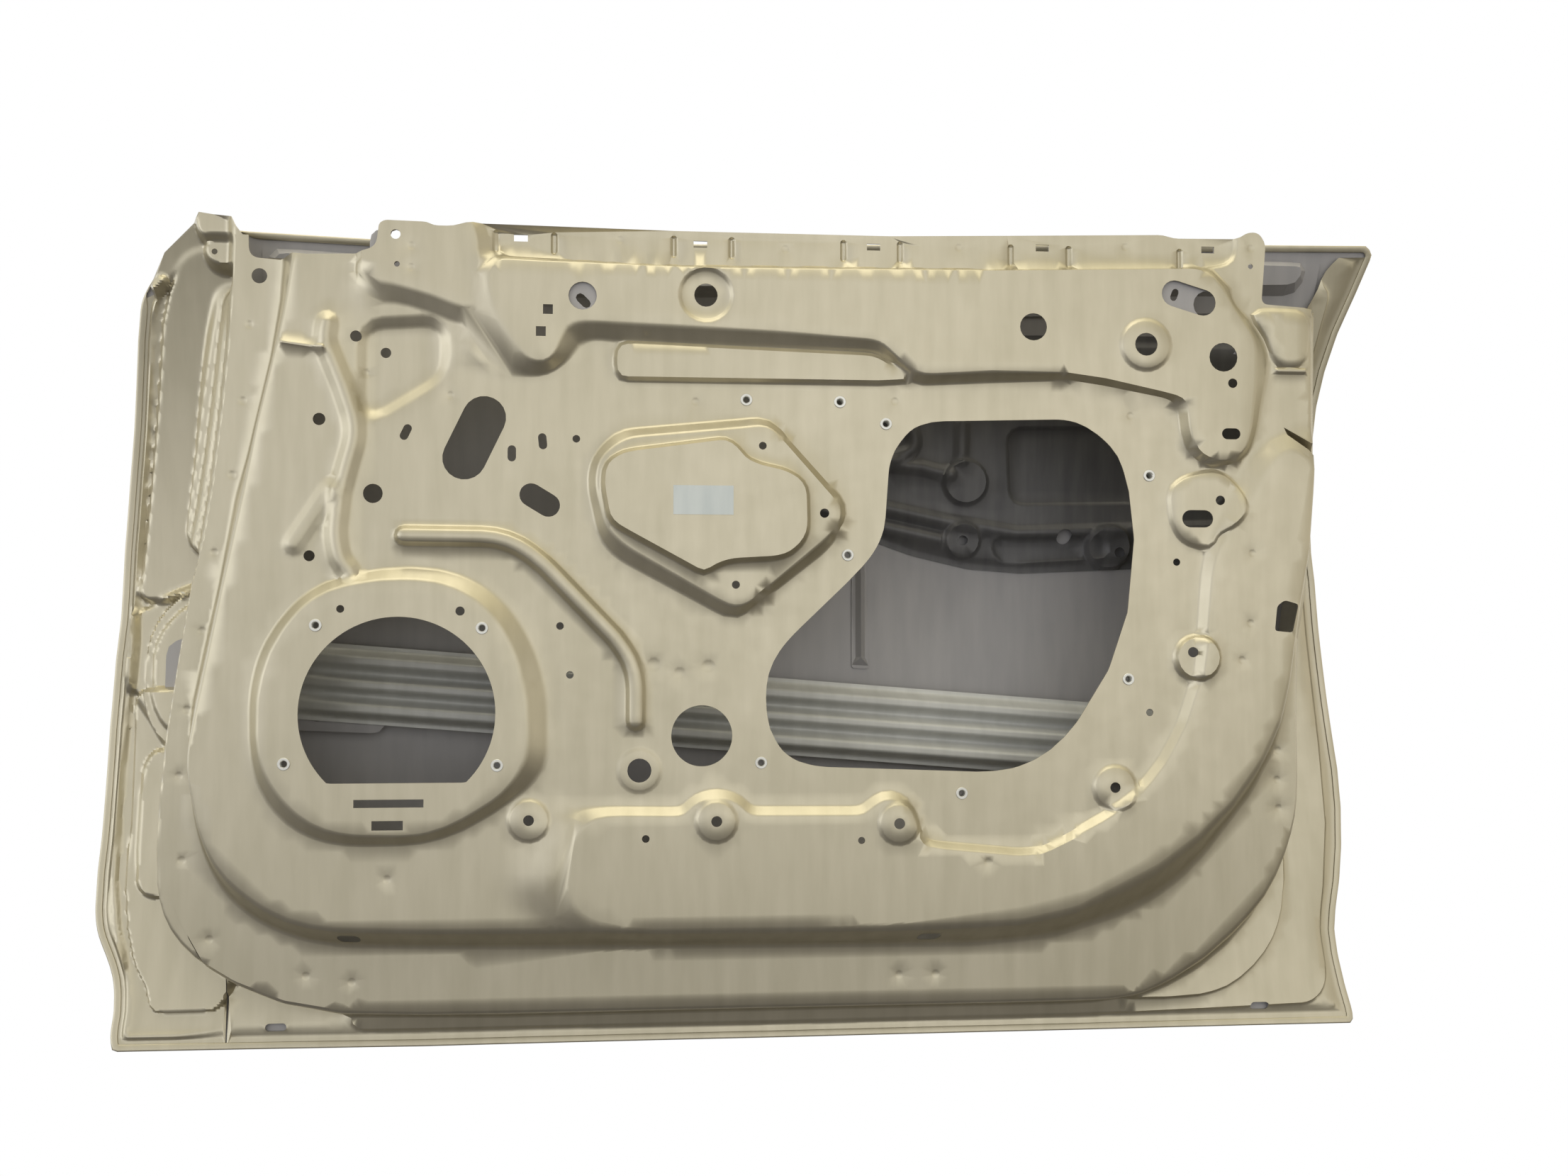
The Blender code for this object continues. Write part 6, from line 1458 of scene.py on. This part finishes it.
def add_area_light(name, spot, aim, size, power, colour):
    """A square soft lamp at a spot, turned toward its aim."""
    lamp = bpy.data.lights.new(name, "AREA")
    lamp.size = size
    lamp.energy = power
    lamp.color = colour
    thing = bpy.data.objects.new(name, lamp)
    thing.location = spot
    thing.rotation_euler = (Vector(aim) - Vector(spot)).to_track_quat("-Z", "Y").to_euler()
    bpy.context.collection.objects.link(thing)


def build_lights():
    """A warm lamp above, a cool one at the left, and near-white ones in front and behind."""
    for name, spot, size, power, colour in LAMPS:
        add_area_light(name, spot, LAMP_AIM, size, power, colour)


def build_camera():
    """The photograph's view, square on and turned a little right and up."""
    lens = bpy.data.cameras.new("photo camera")
    lens.sensor_width = SENSOR_WIDTH
    lens.lens = FOCAL_PIXELS / IMAGE_WIDTH * SENSOR_WIDTH
    camera = bpy.data.objects.new("photo camera", lens)
    camera.location = np.array(CAMERA_PLACE) - SHIFT
    camera.rotation_euler = (math.pi / 2 + CAMERA_PITCH, 0, -CAMERA_YAW)
    bpy.context.collection.objects.link(camera)
    bpy.context.scene.camera = camera


def dress_plates(frame, material, names):
    """Give plain CAD plates their paint."""
    for name in names:
        mesh = frame["nodes"][name].data
        mesh.materials.clear()
        mesh.materials.append(material)


def main():
    """Load the frame, build every visible piece, and light it."""
    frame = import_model()
    features = pressed_features()
    paint = make_paint("champagne paint", PAINT_DARK, PAINT_LIGHT, PAINT_FINISH, 0)
    shade = make_paint("inside paint", INSIDE_DARK, INSIDE_LIGHT, INSIDE_FINISH)
    # The beam paint is lighter than the inside paint as painted light, not as its own colour
    beam_paint_with_painted_light = make_paint("beam paint with painted light", BEAM_DARK_WITH_PAINTED_LIGHT, BEAM_LIGHT_WITH_PAINTED_LIGHT, BEAM_FINISH)
    dark = make_paint("stiffener paint", STIFFENER_DARK, STIFFENER_LIGHT, STIFFENER_FINISH)
    build_inner_panel(features, paint)
    build_hinge_panel(features, paint)
    build_outer_skin(paint, shade)
    build_backing("upper_hinge_plate_form", UPPER_BACKING_SHARES, features, shade,
                  "upper_hinge_reinforcement")
    build_backing("check_arm_plate_form", CHECK_BACKING_SHARES, features, shade,
                  "check_arm_reinforcement")
    build_stiffener(dark)
    build_beam(beam_paint_with_painted_light)
    build_rivet_nuts(features, make_zinc())
    build_label(make_paper())
    dress_plates(frame, shade, PLATE_NODES)
    build_world()
    build_lights()
    build_camera()
    bpy.context.scene.view_settings.view_transform = "Standard"


main()
